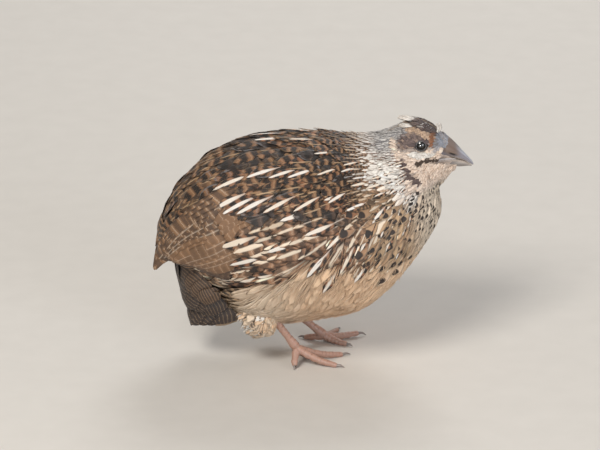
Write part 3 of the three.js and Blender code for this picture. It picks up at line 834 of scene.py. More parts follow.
def clear_of_bill(places):
    """Which feathers keep off the nostril's lid and the edges of the bill."""
    x, y, z = folded(places)
    on_lid = (x > table(LID_LINE, z)) & (z > LID_SPAN[0]) & (z < LID_SPAN[1])
    on_edge = (x > BILL_EDGES["ahead"]) & (z > BILL_EDGES["low"]) & (z < BILL_EDGES["high"])
    return ~((on_lid | on_edge) & (y > BILL_EDGES["off_middle"])).any(axis=1)


# The coat's regions: the stations along a feather and the columns across it, how thick, arched
# and frayed it is, how unevenly the tips stand up, how soon it rises from the skin to lie flat,
# sooner for a lower power, and its material.
FLANK_FEATHERS = (10, 8, 0.12, 0.12, 0.1, 0.1, 0.75, BARRED_VANE)
REGIONS = tabled("stations columns thick camber fray ruffle rise vane", {
    "head": (7, 4, 0.07, 0.12, 0.1, 0.1, 0.75, SPOTTED_VANE),
    "neck": (10, 8, 0.08, 0.12, 0.1, 0.12, 0.75, SPOTTED_VANE),
    "breast": (10, 8, 0.08, 0.1, 0.08, 0.08, 0.6, SPOTTED_VANE),
    "belly": (10, 8, 0.04, 0.03, 0.04, 0.02, 0.3, BARRED_VANE),
    "back": (10, 8, 0.14, 0.12, 0.1, 0.12, 0.75, BARRED_VANE),
    "flank_right": FLANK_FEATHERS,
    "flank_left": FLANK_FEATHERS,
})
# Where regions begin: the back above a height, the breast ahead of a place and below a height,
# and the neck and the head within a distance of the bill and above a height.
REGION_EDGES = {"back": 84.0, "breast": (32.0, 92.0), "neck": (45.0, 74.0), "head": (26.0, 76.0)}
# The width of the belly's soft feathers, as a share of the coat's.
BELLY_WIDTH = 0.6


def region_of(place):
    """The name of the region that each place belongs to."""
    ahead, below = REGION_EDGES["breast"]
    x, y, z = place[..., 0], place[..., 1], place[..., 2]
    flank_name = np.where(y < 0, "flank_right", "flank_left")
    region = np.where(z > REGION_EDGES["back"], "back", flank_name)
    region = np.where((x > ahead) & (z < below), "breast", region)
    region = np.where(belly_of(place) > 0.5, "belly", region)
    for name in ("neck", "head"):
        reach, above = REGION_EDGES[name]
        region = np.where((from_bill(place) < reach) & (z > above), name, region)
    return region


def raised(ts, turns, proud, tilt=0.1):
    """Spines at a height over the body and the way their vanes face, each tilted a little."""
    spine = on_body(ts, turns, proud)
    up = unit(on_body(ts, turns, proud + 1.0) - spine)
    return spine, unit(up + RNG.normal(0, tilt, (len(spine), 1, 3)))


def skin_place(t, turn):
    """Roots on the unwrapped skin: the turn round the body across, and rump to bill up."""
    return np.stack([turn / (2 * math.pi), t], axis=-1)


def region_coat(name, kind, t, turn):
    """The contour feathers of one region from their roots, none reaching past the rump's end."""
    root = on_body(t, turn)
    to_end = np.linalg.norm(root - RUMP["end"], axis=-1)
    length = growth(root, "length") * RNG.uniform(0.9, 1.12, len(t))
    length = np.minimum(length, RUMP["least"] + RUMP["share"] * to_end)
    ts, turns = march(t, turn, length, kind["stations"])
    flat = on_body(ts, turns)
    f = np.linspace(0, 1, kind["stations"])[None, :]
    deep = growth(root, "depth")[:, None]
    ruffle = RNG.normal(0, kind["ruffle"], (len(t), 1)) * deep
    proud = mix(-0.85 * deep, 0.0, f ** kind["rise"]) + ruffle * f
    spine, up = raised(ts, turns, proud + swell(root, flat), 0.7 * kind["ruffle"])
    coat = plumage(flat[:, -2])
    width = growth(root, "width") * RNG.uniform(0.88, 1.1, len(t))
    width = width * mix(1.0, BELLY_WIDTH, belly_of(flat[:, -2]))
    keep = clear_of_eyes(flat) & clear_of_bill(flat) & (to_end > RUMP["bare"])
    build_vanes("coat_" + name, spine, up, width, coat, skin_place(t, turn), kind["vane"],
                "round", kind["columns"], kind["thick"], kind["camber"], kind["fray"], keep=keep)


def body_coat():
    """The contour feathers of head, neck and trunk, by region."""
    t, turn = body_roots()
    region = region_of(on_body(t, turn))
    for name, kind in REGIONS.items():
        own = region == name
        region_coat(name, kind, t[own], turn[own])


# Longer feathers lie over the rest. Pale-shafted lances stand in a row down each side of the
# back, in others along the shoulders, and spaced out over the flanks and the sides of the neck.
# Broad scapulars lie between the rows, and short spotted feathers over the breast. Each row is a
# line near the surface, on her left, along which the roots are set, a step apart.
ROWS = {
    "back": [(-4, 4, 100), (8, 6, 100.5), (16, 12, 98.5), (26, 18, 96)],
    "upper_shoulder": [(-16, 22, 93), (6, 22, 94), (26, 20, 95)],
    "shoulder": [(-20, 27, 84.5), (-4, 30, 84.5), (22, 30, 87)],
}
ROW_STEP = 7.0
# Where the others root, in side view: the lower and the upper edge as (x, z), and the edge
# behind the breast as (z, x).
LANCES_LOW = [(-40, 42), (-16, 48), (0, 54), (31, 58), (44, 64), (56, 74)]
LANCES_HIGH = [(-30, 74), (0, 78), (20, 84), (44, 96)]
SCAPULARS_LOW = [(-54, 66), (-44, 75), (0, 80), (24, 86)]
SPOTS_BEHIND = [(40, 44), (55, 34), (70, 24), (82, 22), (90, 30)]
SPOTS_LOW = [(0, 52), (31, 50), (41, 51), (52, 53), (60, 60)]
SPOTS_HIGH = [(30, 78), (44, 80), (56, 86)]
# How far from the bill the face's own small feathers go.
FACE_REACH = 20.0


def spread_out(places, along, across):
    """Picks places that keep off each other, further along the lie than across it."""
    heading = lie_of_coat(places)
    size = growth(places, "spacing")
    chosen = []
    for i in RNG.permutation(len(places)):
        gap = places[chosen] - places[i] if chosen else np.zeros((0, 3))
        ahead = np.abs(gap @ heading[i])
        aside = np.sqrt(np.maximum((gap ** 2).sum(-1) - ahead ** 2, 0))
        if not (np.hypot(ahead / along, aside / across) < size[i]).any():
            chosen.append(i)
    return np.array(chosen)


def chosen_roots(wears, spacing):
    """Roots spaced out over a part of the body, picked by a test of their places."""
    t, turn = body_roots()
    place = on_body(t, turn)
    picked = wears(place)
    place, t, turn = place[picked], t[picked], turn[picked]
    chosen = spread_out(place, *spacing)
    return t[chosen], turn[chosen]


def wears_lances(place):
    """The flanks and the sides of the neck, between the belly and the shoulders."""
    x, y, z = folded(place)
    level = (z > table(LANCES_LOW, x)) & (z < table(LANCES_HIGH, x))
    return level & (y > 15) & (x > -30) & (x < 48) & (from_bill(place) > FACE_REACH)


def wears_scapulars(place):
    """The shoulders and the back, over the folded wing."""
    x, y, z = folded(place)
    return (x > -54) & (x < 24) & (z > table(SCAPULARS_LOW, x)) & (y > 4)


def wears_spots(place):
    """The breast, from the front round to the shoulders' sides."""
    x, _, z = folded(place)
    low = table(SPOTS_LOW, x) + RNG.normal(0, 2, x.shape)
    level = (z > low) & (z < table(SPOTS_HIGH, x))
    return level & (x > table(SPOTS_BEHIND, z)) & (from_bill(place) > FACE_REACH)


def row_roots(line):
    """Roots along a line near the surface, on both sides."""
    t, turn = np.meshgrid(np.linspace(0.05, 0.7, 300), np.linspace(0.0, math.pi / 2, 160),
                          indexing="ij")
    place = on_body(t, turn)
    line = np.array(line, float)
    count = max(int(np.linalg.norm(np.diff(line, axis=0), axis=1).sum() / ROW_STEP), 2)
    ts, turns = [], []
    for spot in catmull(line, np.linspace(0, 1, count)) * [1, -1, 1]:
        off = np.linalg.norm(place - spot - RNG.uniform(-1, 1, 3), axis=-1)
        i = np.unravel_index(np.argmin(off), off.shape)
        ts += [t[i], t[i]]
        turns += [turn[i], math.pi - turn[i]]
    return np.array(ts), np.array(turns)


def pale_shafted(coat, count):
    """Warm webs barred with black beside a broad white to cream shaft."""
    coat["ground"] = mix(SHADES["warm_buff"], SHADES["rufous"], RNG.uniform(0.3, 1, (count, 1)))
    coat["streak"] = mix(SHADES["white"], SHADES["cream"], RNG.uniform(0, 0.8, (count, 1)))
    coat["plan"][:, 0] = RNG.uniform(0.3, 0.42, count)


def broad_barred(coat, count):
    """Brown to rufous webs with broad black bars and thin buff lines, a few tipped with grey."""
    coat["ground"] = mix(SHADES["wing_brown"], SHADES["rufous"], RNG.uniform(0, 0.7, (count, 1)))
    grey = RNG.uniform(0, 1, (count, 1)) < 0.3
    coat["streak"] = mix(SHADES["buff"], SHADES["grey"], grey)
    coat["plan"][:, 3] += 0.35 * grey[:, 0]


def round_spotted(coat, count):
    """The breast's own ground with one dark spot at the tip."""
    coat["mark"] = mix(SHADES["black"], SHADES["dark_brown"], RNG.uniform(0, 0.8, (count, 1)))
    coat["streak"] = np.tile(SHADES["cream"], (count, 1))


# The layers over the coat, from the lowest to the highest: where the feathers root, spaced
# along and across the lie of the coat, their length and width as shares of the coat's own
# there, the least width, how proud they lie and how much further down they run, their outline,
# stations and fraying, their material and plan, and what colours them.
OVERLAYS = tabled("wears spacing length width least proud sink outline stations fray vane plan "
                  "colour", {
    "coat_scapulars": (wears_scapulars, (1.5, 1.2), 0.8, 0.85, 0.0, 0.1, 0.12, "round", 12, 0.08,
                       SCAPULAR_VANE, (0.0, 1.0, 0.8, 0.2), broad_barred),
    "coat_spots": (wears_spots, (1.35, 1.1), 0.66, 0.85, 4.2, 0.1, 0.0, "round", 9, 0.06,
                   SPOTTED_VANE, (0.0, 0.0, 1.0, 0.35), round_spotted),
    "coat_lances": (wears_lances, (2.6, 1.6), 1.0, 0.58, 0.0, 0.14, 0.0, "blade", 14, 0.04,
                    BARRED_VANE, (0.0, 1.0, 0.0, 0.0), pale_shafted),
    "coat_row_lances": (None, None, 0.95, 0.46, 0.0, 0.3, 0.3, "blade", 14, 0.04,
                        BARRED_VANE, (0.0, 1.0, 0.0, 0.0), pale_shafted),
})


def overlay(name, kind, t, turn):
    """Feathers of one kind over the coat, from their roots."""
    root = on_body(t, turn)
    count = len(t)
    length = growth(root, "length") * kind["length"] * RNG.uniform(0.85, 1.1, count)
    width = growth(root, "width") * kind["width"] * RNG.uniform(0.9, 1.1, count)
    width = np.maximum(width, kind["least"])
    length = np.maximum(length, 1.8 * kind["least"])
    ts, turns = march(t, turn, length, kind["stations"], np.full(count, kind["sink"]))
    flat = on_body(ts, turns)
    f = np.linspace(0, 1, kind["stations"])[None, :]
    deep = growth(root, "depth")[:, None]
    proud = mix(-0.6 * deep, kind["proud"] * deep, f ** 0.4)
    spine, up = raised(ts, turns, proud + swell(root, flat))
    coat = plain_coat(count, "black", "black", "black", kind["plan"])
    coat["ground"] = plumage(flat[:, -3])["ground"]
    kind["colour"](coat, count)
    build_vanes(name, spine, up, width, coat, skin_place(t, turn), kind["vane"],
                kind["outline"], 8, 0.12, fray=kind["fray"], keep=clear_of_eyes(flat))


def overlay_coat():
    """The feathers that lie over the coat, from the lowest layer to the highest."""
    for name, kind in OVERLAYS.items():
        if kind["wears"]:
            roots = chosen_roots(kind["wears"], kind["spacing"])
        else:
            roots = (np.concatenate(v) for v in zip(*map(row_roots, ROWS.values())))
        overlay(name, kind, *roots)


# The belly's loose barbs: how many stand for each root and how far they stray from it along
# and round the body, the stations along one, how far back its tip is looked for, how far off
# the bill they begin, and from where they are parted by side.
BARBS = {"copies": 10, "astray": (0.009, 0.07), "stations": 5, "tip": 12.0, "from_bill": 24.0,
         "front": 42.0}


def loose_barbs():
    """Fine loose barbs that soften the coat of the belly."""
    t, turn = body_roots()
    place = on_body(t, turn)
    tip = place + BARBS["tip"] * lie_of_coat(place)
    own = (belly_of(tip) > 0.5) & (from_bill(place) > BARBS["from_bill"])
    t, turn = (np.repeat(v[own], BARBS["copies"]) for v in (t, turn))
    t, turn = (v + RNG.normal(0, stray, len(v)) for v, stray in zip((t, turn), BARBS["astray"]))
    t = np.clip(t, 0.02, 0.985)
    root = on_body(t, turn)
    length = growth(root, "length") * RNG.uniform(0.3, 0.5, len(t))
    ts, turns = march(t, turn, length, BARBS["stations"])
    flat = on_body(ts, turns)
    keep = clear_of_eyes(flat) & clear_of_bill(flat) & ~on_bare_wing(root)
    f = np.linspace(0, 1, BARBS["stations"])[None, :]
    deep = growth(root, "depth")[:, None]
    stray = RNG.uniform(0.02, 0.16, (len(t), 1)) * deep
    proud = mix(-0.3 * deep, 0 * deep, f) + stray * f + swell(root, flat)
    spine, up = raised(ts, turns, proud)
    side = unit(np.cross(spine[:, -1] - spine[:, 0], up[:, 0]))
    drift = RNG.normal(0, 0.12, (len(t), 1)) * length[:, None]
    spine = spine + side[:, None] * (drift * f ** 2)[..., None]
    coat = plumage(flat[:, -1])
    pick = RNG.choice([0.0, 0.8], (len(t), 1), p=[0.75, 0.25]) * coat["plan"][:, 1:2]
    coat["ground"] = mix(coat["ground"], coat["mark"], pick)
    coat["plan"] = np.zeros((len(t), 4))
    width = growth(root, "width") * 0.05 + 0.1
    front = from_bill(root) < BARBS["front"]
    right = root[:, 1] < 0
    zones = {"front": front, "right": ~front & right, "left": ~front & ~right}
    for name, own in zones.items():
        build_vanes("loose_barbs_" + name, spine, up, width, coat, skin_place(t, turn),
                    BARRED_VANE, "hair", 2, 0.06, fray=0.0, keep=own & keep)


# Skin under the coat.

LEGS = {
    "right": {
        "thigh": [(-15.5, -15, 33), (-15.5, -15, 22), (-13, -14.8, 13.6)],
        "hock": (-17, -15.5, 29), "foot": (-1.3, -14, 7.2),
        "toes": {
            "inner": [(2.5, -7.5, 1.8), (4.8, -2.2, 0.75), (6, 0.8, 0.2)],
            "middle": [(9, -9.4, 2.7), (18.2, -5.2, 0.75), (22, -3.4, 0.2)],
            "outer": [(7.5, -16, 2.9), (15.8, -17.7, 0.75), (19.2, -18.4, 0.2)],
            "hind": [(-2.2, -17.2, 4), (-2.4, -19.4, 1.5), (-2.6, -21, 0.2)],
        },
    },
    "left": {
        "thigh": [(-12, 14.5, 30), (-8.5, 14.2, 21), (-4.5, 13.2, 12.6)],
        "hock": (-11, 14, 19.5), "foot": (10.8, 11, 3),
        "toes": {
            "inner": [(15.4, 8.8, 1.5), (20.4, 6.4, 0.75), (23, 5.2, 0.2)],
            "middle": [(17, 13.6, 1.7), (25.4, 17, 1.7), (29, 18.5, 0.2)],
            "outer": [(13.6, 16.5, 1.5), (16.4, 23, 0.75), (17.8, 26, 0.2)],
            "hind": [(6.6, 12.6, 1.8), (2.2, 14.6, 0.75), (-1, 15.8, 0.2)],
        },
    },
}
# Radii along the thigh, the shank and a toe, and their width as a share of their depth.
THIGH = [(0, 7.0), (0.4, 8.5), (0.75, 6.0), (1, 3.2)]
SHANK = [(0, 2.3), (0.12, 1.9), (0.4, 1.45), (0.75, 1.45), (0.92, 2.0), (1, 1.7)]
TOE = [(0, 1.75), (0.3, 1.4), (0.7, 1.25), (1, 0.95)]
THIGH_NARROW, SHANK_NARROW, TOE_NARROW = 0.85, 0.86, 0.95
# How finely the thighs' skin is melted into the body's, and the dip in it round each eye.
MELT = 0.8
SOCKET = {"radius": 3.5, "deep": 1.9}
# The thigh's feathers: how many, the stations along one, how far down the thigh they root and
# how far each runs down it, as shares of its length.
THIGH_COAT = {"count": 260, "stations": 9, "lowest": 0.72, "run": 0.24}


def on_tube(path, radii, f, turn, proud=0.0, narrow=1.0):
    """Points round a bent tube: turn 0 faces her left and a quarter turn faces up or ahead."""
    path = np.asarray(path, float)
    middle = catmull(path, f)
    run = unit(catmull(path, np.clip(f + 0.01, 0, 1)) - catmull(path, np.clip(f - 0.01, 0, 1)))
    left = np.array([0.0, 1.0, 0.0]) + 0 * run
    left = unit(left - run * (left * run).sum(-1, keepdims=True))
    face = np.cross(left, run)
    face = face * np.where(face[..., :1] + face[..., 2:] < 0, -1, 1)
    reach = table(radii, f) + proud
    return (middle + left * (np.cos(turn) * reach * narrow)[..., None]
            + face * (np.sin(turn) * reach)[..., None])


def loft(name, grid, material, shade=None):
    """A closed skin through rings of points, with a cap on each end, facing out."""
    rows, columns = grid.shape[:2]
    points = grid.reshape(-1, 3)
    faces = grid_faces(rows, columns, wrap=True)
    first = np.arange(columns)[None, ::-1]
    last = (rows - 1) * columns + np.arange(columns)[None, :]
    a, b, c = points[faces[:, 0]], points[faces[:, 1]], points[faces[:, 2]]
    if (a * np.cross(b, c)).sum() < 0:
        faces, first, last = faces[:, ::-1], first[:, ::-1], last[:, ::-1]
    obj = new_object(name, points, [faces, first, last], material)
    if shade is not None:
        paint_points(obj, "ground", np.asarray(shade, float).reshape(len(points), -1))
    return obj


def joined(name, objects):
    """Several objects as one, under one name."""
    with bpy.context.temp_override(active_object=objects[0], object=objects[0],
                                   selected_editable_objects=objects):
        bpy.ops.object.join()
    objects[0].name = name
    objects[0].data.name = name
    return objects[0]


def body_skin():
    """One seamless skin of trunk, neck, head and thighs, sunk under the coat."""
    t, turn = rings(240, 160, 0.004, 0.996)
    grid = on_body(t, turn, -growth(on_body(t, turn), "depth"))
    # It sinks round the eyes and narrows under the bare base of the bill.
    off = np.hypot(grid[..., 0] - EYE["x"], grid[..., 2] - EYE["z"])
    sink = smooth(SOCKET["radius"] - off, 0, 0.8) * smooth(np.abs(grid[..., 1]), 5, 7)
    grid[..., 1] -= np.sign(grid[..., 1]) * sink * SOCKET["deep"]
    bare = smooth(grid[..., 0], 58.0, 60.5) * smooth(grid[..., 2], 86.5, 88)
    grid[..., 1] *= 1 - 0.45 * bare * smooth(98.5 - grid[..., 2], 0, 2)
    parts = [loft("skin_body", grid, SKIN)]
    for side, leg in LEGS.items():
        thigh = on_tube(leg["thigh"], THIGH, *rings(30, 32), -1.2, THIGH_NARROW)
        parts.append(loft("skin_" + side, thigh, SKIN))
    skin = joined("skin", parts)
    melt = skin.modifiers.new("melt", "REMESH")
    melt.mode = "VOXEL"
    melt.voxel_size = MELT * MM
    graph = bpy.context.evaluated_depsgraph_get()
    skin.data = bpy.data.meshes.new_from_object(skin.evaluated_get(graph))
    skin.modifiers.clear()
    skin.data.polygons.foreach_set("use_smooth", [True] * len(skin.data.polygons))
    spots = np.empty(len(skin.data.vertices) * 3, np.float32)
    skin.data.vertices.foreach_get("co", spots)
    paint_points(skin, "ground", plumage(spots.reshape(-1, 3) / MM - SHIFT)["ground"])
    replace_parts(skin, "torso", "neck", "head", "thigh_right", "thigh_left")
    return skin


def thigh_coat(side, leg):
    """Soft feathers of the thigh, swept down and back."""
    count = THIGH_COAT["count"]
    f = RNG.uniform(0, THIGH_COAT["lowest"], count)
    turn = RNG.uniform(0, 2 * math.pi, count)
    g = np.linspace(0, 1, THIGH_COAT["stations"])[None, :]
    along = np.clip(f[:, None] + THIGH_COAT["run"] * g, 0, 1)
    lift = mix(-1.6, -0.5, g ** 0.5) + 0 * along
    around = turn[:, None] + 0 * along
    spine = on_tube(leg["thigh"], THIGH, along, around, lift, THIGH_NARROW)
    up = unit(spine - catmull(leg["thigh"], along))
    behind = 1 - smooth(up[:, :1, 0], -0.3, 0.6)
    sweep = (3.6 * behind + 0.6) * RNG.uniform(0.8, 1.1, (count, 1))
    spine = spine - (sweep * g ** 1.5)[..., None] * np.array([1.0, 0.0, 0.1])
    marked = RNG.uniform(0, 1, count) < 0.4 * behind[:, 0]
    coat = {
        "ground": mix(SHADES["belly"], SHADES["cream"], RNG.uniform(0.1, 0.9, (count, 1))),
        "mark": mix(SHADES["buff"], SHADES["black"], marked[:, None]),
        "streak": np.tile(SHADES["white"], (count, 1)),
        "plan": marked[:, None] * np.array([0.5, 0.8, 0.0, 0.0]),
    }
    build_vanes("coat_thigh_" + side, spine, up, RNG.uniform(3.0, 4.4, count), coat,
                np.stack([turn, f], axis=-1), BARRED_VANE, "blade", 4, 0.05, camber=0.04)


# Wings and tail.

# Rows of wing feathers in side view as (x, z): the first and the last feather's root, bend and
# tip, how proud of the flank they lie at the root and at the tip, their width, and their plan.
WING_ROWS = tabled("count root bend tip proud width ground mark plan", {
    "primaries": (7, [(0, 66), (6, 61)], [(-20, 58), (-14, 53)], [(-46, 48.5), (-34, 45)],
                  (0.4, 1.2), 7.0, "umber", "dark_brown", (0.0, 0.5, 0.2, 0.0)),
    "secondaries": (9, [(-4, 77), (4, 66)], [(-34, 69), (-18, 58)], [(-57, 49), (-39, 49)],
                    (0.8, 2.2), 8.5, "wing_brown", "umber", (0.016, 0.5, 0.4, 0.0)),
    "tertials": (6, [(-8, 89), (-4, 79)], [(-46, 84), (-42, 71)], [(-62.5, 44), (-57, 51)],
                 (1.2, 3.0), 11.0, "wing_brown", "dark_brown", (0.02, 0.7, 0.8, 0.0)),
    "greater_coverts": (9, [(0, 87), (6, 70)], [(-16, 85), (-8, 64)], [(-36, 71), (-26, 58)],
                        (0.6, 2.9), 8.0, "wing_brown", "umber", (0.0, 0.3, 0.5, 0.0)),
    "median_coverts": (9, [(6, 86), (10, 72)], [(-6, 86), (0, 67)], [(-25, 80), (-16, 62)],
                       (0.2, 3.1), 7.5, "wing_brown", "dark_brown", (0.0, 0.6, 0.6, 0.1)),
})
TERTIAL_SPREAD = {"at": -64.0, "half": 9.0, "slope": 0.8, "most": 30.0}
# Each wing feather leans over the one below it by this many radians.
WING_LEAN = 0.16
# The wing's and the tail's feathers: stations, columns, thickness and the size of their patch
# in the bake.
FLIGHT = {"wing": 26, "tail": 22, "columns": 10, "thick": 0.3, "patch": 0.06}
# The tail's feathers, the tiers of coverts over its base, and the cap of short feathers where
# the coat of the back runs out: roots and tips from her right to the middle, how many, how far
# they bulge, their width, and the pale edge of the outermost.
TAIL = tabled("roots tips count bulge width ground plan outer_edge", {
    "tail_feathers": ([(-25, -14.5, 24.5), (-33, -13, 31), (-42, -8, 38), (-47, 0, 41.5)],
                      [(-41, -12, 21.5), (-46, -10.5, 18), (-47, -6, 15), (-46.5, 0, 13.5)],
                      14, 4.5, 9.5, "dark_brown", (0.0, 0.3, 0.9, 0.0), 1.0),
    "tail_coverts": ([(-31, -17, 30), (-42, -14.5, 38), (-50, -9, 46), (-54, 0, 50)],
                     [(-43, -14.5, 25), (-47.5, -12.5, 25), (-49, -7.5, 25), (-49.5, 0, 25)],
                     13, 3.0, 8.0, "dark_brown", (0.0, 0.4, 0.9, 0.0), 0.0),
    "rump_cap": ([(-49, -18, 62), (-54, -13, 63), (-58, -6.5, 63.5), (-59.2, 0, 63.5)],
                 [(-46, -15, 44), (-50, -10.5, 44), (-52.5, -5, 44), (-53.2, 0, 44)],
                 11, 8.8, 8.5, "wing_brown", (0.0, 0.9, 0.8, 0.0), 0.0),
    "rump_coverts": ([(-34, -20, 36), (-43, -16.5, 45), (-49, -10, 52), (-51, 0, 55)],
                     [(-44, -17, 31), (-48, -13.5, 33), (-49.5, -8, 35), (-50, 0, 36)],
                     13, 2.0, 8.0, "umber", (0.0, 0.7, 0.8, 0.0), 0.0),
})


def wing_reach(x, z):
    """How far out a folded wing's feathers lie: on the flank, or curling round the rump."""
    spread = TERTIAL_SPREAD["half"] + TERTIAL_SPREAD["slope"] * (x - TERTIAL_SPREAD["at"])
    spread = np.clip(spread, 0, TERTIAL_SPREAD["most"])
    near = flank(x, z)
    loose = 3.0 * smooth(-x, 26, 40) + 6.0 * smooth(-x, 45, 60)
    return np.maximum(near, np.minimum(spread, near + loose))


def bezier(root, bend, tip, f):
    return root * (1 - f) ** 2 + bend * 2 * f * (1 - f) + tip * f ** 2


def wing_row(name, row, side):
    """One row of folded feathers, each lying over the next one below it."""
    count = row["count"]
    rank = np.linspace(0, 1, count)[:, None, None]
    f = np.linspace(0, 1, FLIGHT["wing"])[None, :, None]
    root, bend, tip = (mix(*np.array(row[k]), rank) for k in ("root", "bend", "tip"))
    flat = bezier(root, bend, tip, f)
    x, z = flat[..., 0], flat[..., 1]
    x, z = x + RNG.normal(0, 0.3, (count, 1)), z + RNG.normal(0, 0.3, (count, 1)) * f[..., 0]
    proud = mix(*row["proud"], f[..., 0]) + 0.35 * (1 - rank[..., 0])
    y = side * (wing_reach(x, z) + proud)
    spine = np.stack([x, y, z], axis=-1)
    # The vanes face out from an egg that the wing is folded round.
    out = unit(np.stack([(x + 2) / 64 ** 2, y / 36 ** 2, (z - 58) / 44 ** 2], axis=-1))
    heading = unit(np.gradient(spine, axis=1))
    out = unit(out - heading * (out * heading).sum(-1, keepdims=True))
    lean = np.cross(heading, out) * side
    up = unit(out * math.cos(WING_LEAN) + lean * math.sin(WING_LEAN))
    coat = plain_coat(count, row["ground"], row["mark"], "cream", row["plan"])
    coat["ground"] = coat["ground"] * RNG.uniform(0.85, 1.15, (count, 1))
    coat["plan"][::2, 0] = 0.0
    bake = np.stack([rank[:, 0, 0], np.full(count, 0.5)], axis=-1)
    return build_vanes(f"{name}_{'right' if side < 0 else 'left'}", spine, up,
                       np.full(count, row["width"]), coat, bake, FLIGHT_VANE, "flight",
                       FLIGHT["columns"], FLIGHT["thick"], 0.16, 0.02, FLIGHT["patch"])


def build_wings():
    """Both folded wings, row by row."""
    for side in (-1, 1):
        rows = [wing_row(name, row, side) for name, row in WING_ROWS.items()]
        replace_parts(rows[0], "wing_right" if side < 0 else "wing_left")


def mirrored(points):
    """Points from her right side to the middle, and back down her left side."""
    points = np.array(points, float)
    return np.concatenate([points, points[-2::-1] * [1, -1, 1]])


def tail_row(name, row):
    """One tier of feathers, fanned from her right side round to her left."""
    count = row["count"]
    f = np.linspace(0, 1, FLIGHT["tail"])[None, :, None]
    rank = np.linspace(0, 1, count)
    root, tip = (catmull(mirrored(row[k]), rank)[:, None] for k in ("roots", "tips"))
    a = (2 * rank - 1)[:, None, None]
    facing = unit(np.concatenate([0.75 * np.abs(a) - 1, a, -0.15 * np.abs(a)], axis=-1))
    bulge = facing * 4 * f * (1 - f) * row["bulge"] / 2
    spine = mix(root, tip, f) + bulge + facing * 0.25 * (1 - np.abs(a))
    coat = plain_coat(count, row["ground"], "black", "buff", row["plan"])
    coat["plan"][[0, -1], 3] = row["outer_edge"]
    bake = np.stack([rank, np.full(count, 0.5)], axis=-1)
    return build_vanes(name, spine, facing + 0 * spine, np.full(count, row["width"]), coat,
                       bake, TAIL_VANE, "flight", FLIGHT["columns"], FLIGHT["thick"], 0.1,
                       0.02, FLIGHT["patch"])


def build_tail():
    """Short drooping tail feathers and the coverts over them."""
    pieces = {name: tail_row(name, row) for name, row in TAIL.items()}
    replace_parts(pieces["tail_feathers"], "tail")


# Bill and eyes.

# Stations of the bill from face to tip, in side view: top and bottom as (x, z), half width.
UPPER_BILL = [
    ((60, 101), (58.5, 90.55), 5.7), ((63.6, 99), (62, 90.4), 4.4),
    ((66.2, 96.6), (65.2, 90.1), 3.5), ((68.6, 93.9), (67.9, 89.6), 2.7),
    ((71, 91.3), (70.4, 88.7), 1.9),
    ((73.2, 88.9), (72.6, 87.3), 1.0), ((74.2, 87.2), (74, 86.5), 0.35),
]
LOWER_BILL = [
    ((58.5, 90.25), (59.5, 86.6), 3.9), ((62, 90.1), (62.8, 86.4), 3.5),
    ((65.2, 89.8), (66, 86.2), 2.8), ((67.9, 89.3), (68.4, 86), 2.1),
    ((70.4, 88.4), (70.6, 86.1), 1.4), ((72.2, 87.2), (72.1, 86.2), 0.8),
    ((73.5, 86.5), (73.4, 86.1), 0.3),
]
# The line of the mouth in side view, how far out the horn lies beside it as (x, y), and the
# rims' radii, with the height and the colour of the upper and the lower one.
MOUTH = [(56.8, 91.5), (59.5, 91.0), (62.5, 90.5), (66.5, 90.0)]
BESIDE_HORN = [(57, 10.0), (60, 6.6), (62, 5.0), (65.2, 3.8), (67.9, 2.8)]
RIM = [(0, 0.15), (0.2, 0.5), (0.75, 0.42), (1, 0.15)]
RIMS = ((0.42, "cbc4c1"), (-0.42, "b9aba1"))
# The nostril's slit and the lid over it, each an oval with its lean in radians.
NOSTRIL = {"x": 65.2, "z": 92.6, "long": 1.7, "high": 0.45, "lean": 0.45}
OPERCULUM = {"x": 64.3, "z": 93.9, "long": 3.4, "high": 1.9, "lean": 0.7, "proud": 0.55}
# The ridge's colour is a painted highlight, and the dark colour is painted shade in the nostril's
# slit.
HORN = {name: linear(tone) for name, tone in {
    "grey": "8b8891", "edge": "c2b6ab", "brown": "77604f", "dark": "1d1714",
    "ridge": "c2c6d0", "lower": "8a827c",
}.items()}


def bill_grid(stations, upper, rows=70, columns=72):
    """Rings of the bill: a ridged top over a flat bottom, or a rounded keel under a flat top."""
    f, turn = rings(rows, columns)
    top, bottom = (catmull([s[i] for s in stations], f) for i in (0, 1))
    half = catmull([[s[2], 0] for s in stations], f)[..., 0]
    lift = np.sin(turn)
    level = 0.5 + 0.5 * np.sign(lift) * np.abs(lift) ** (0.9 if upper else 1.0)
    out = np.sign(np.cos(turn)) * np.abs(np.cos(turn)) ** (0.75 if upper else 0.85)
    side = mix(bottom, top, level[..., None])
    ridge = np.where(lift > 0, 1 - 0.15 * lift ** 2, 1.0) if upper else 1.0
    return np.stack([side[..., 0], out * half * ridge, side[..., 1]], axis=-1), level


def oval(spot, x, z):
    """A leaning oval in side view: 0 in its middle and 1 on its edge."""
    dx, dz = x - spot["x"], z - spot["z"]
    along = dx * math.cos(spot["lean"]) - dz * math.sin(spot["lean"])
    across = dx * math.sin(spot["lean"]) + dz * math.cos(spot["lean"])
    return (along / spot["long"]) ** 2 + (across / spot["high"]) ** 2


def nose_shape(grid):
    """Raises the nostril's lid on each side and cuts the slit under it."""
    x, y, z = grid[..., 0], grid[..., 1], grid[..., 2]
    lid = np.exp(-oval(OPERCULUM, x, z) ** 1.4) * OPERCULUM["proud"]
    slit = np.exp(-oval(NOSTRIL, x, z) ** 2)
    grid[..., 1] = y + np.sign(y) * (lid - 0.9 * slit) * smooth(np.abs(y), 0.8, 2.0)
    return lid / OPERCULUM["proud"], slit


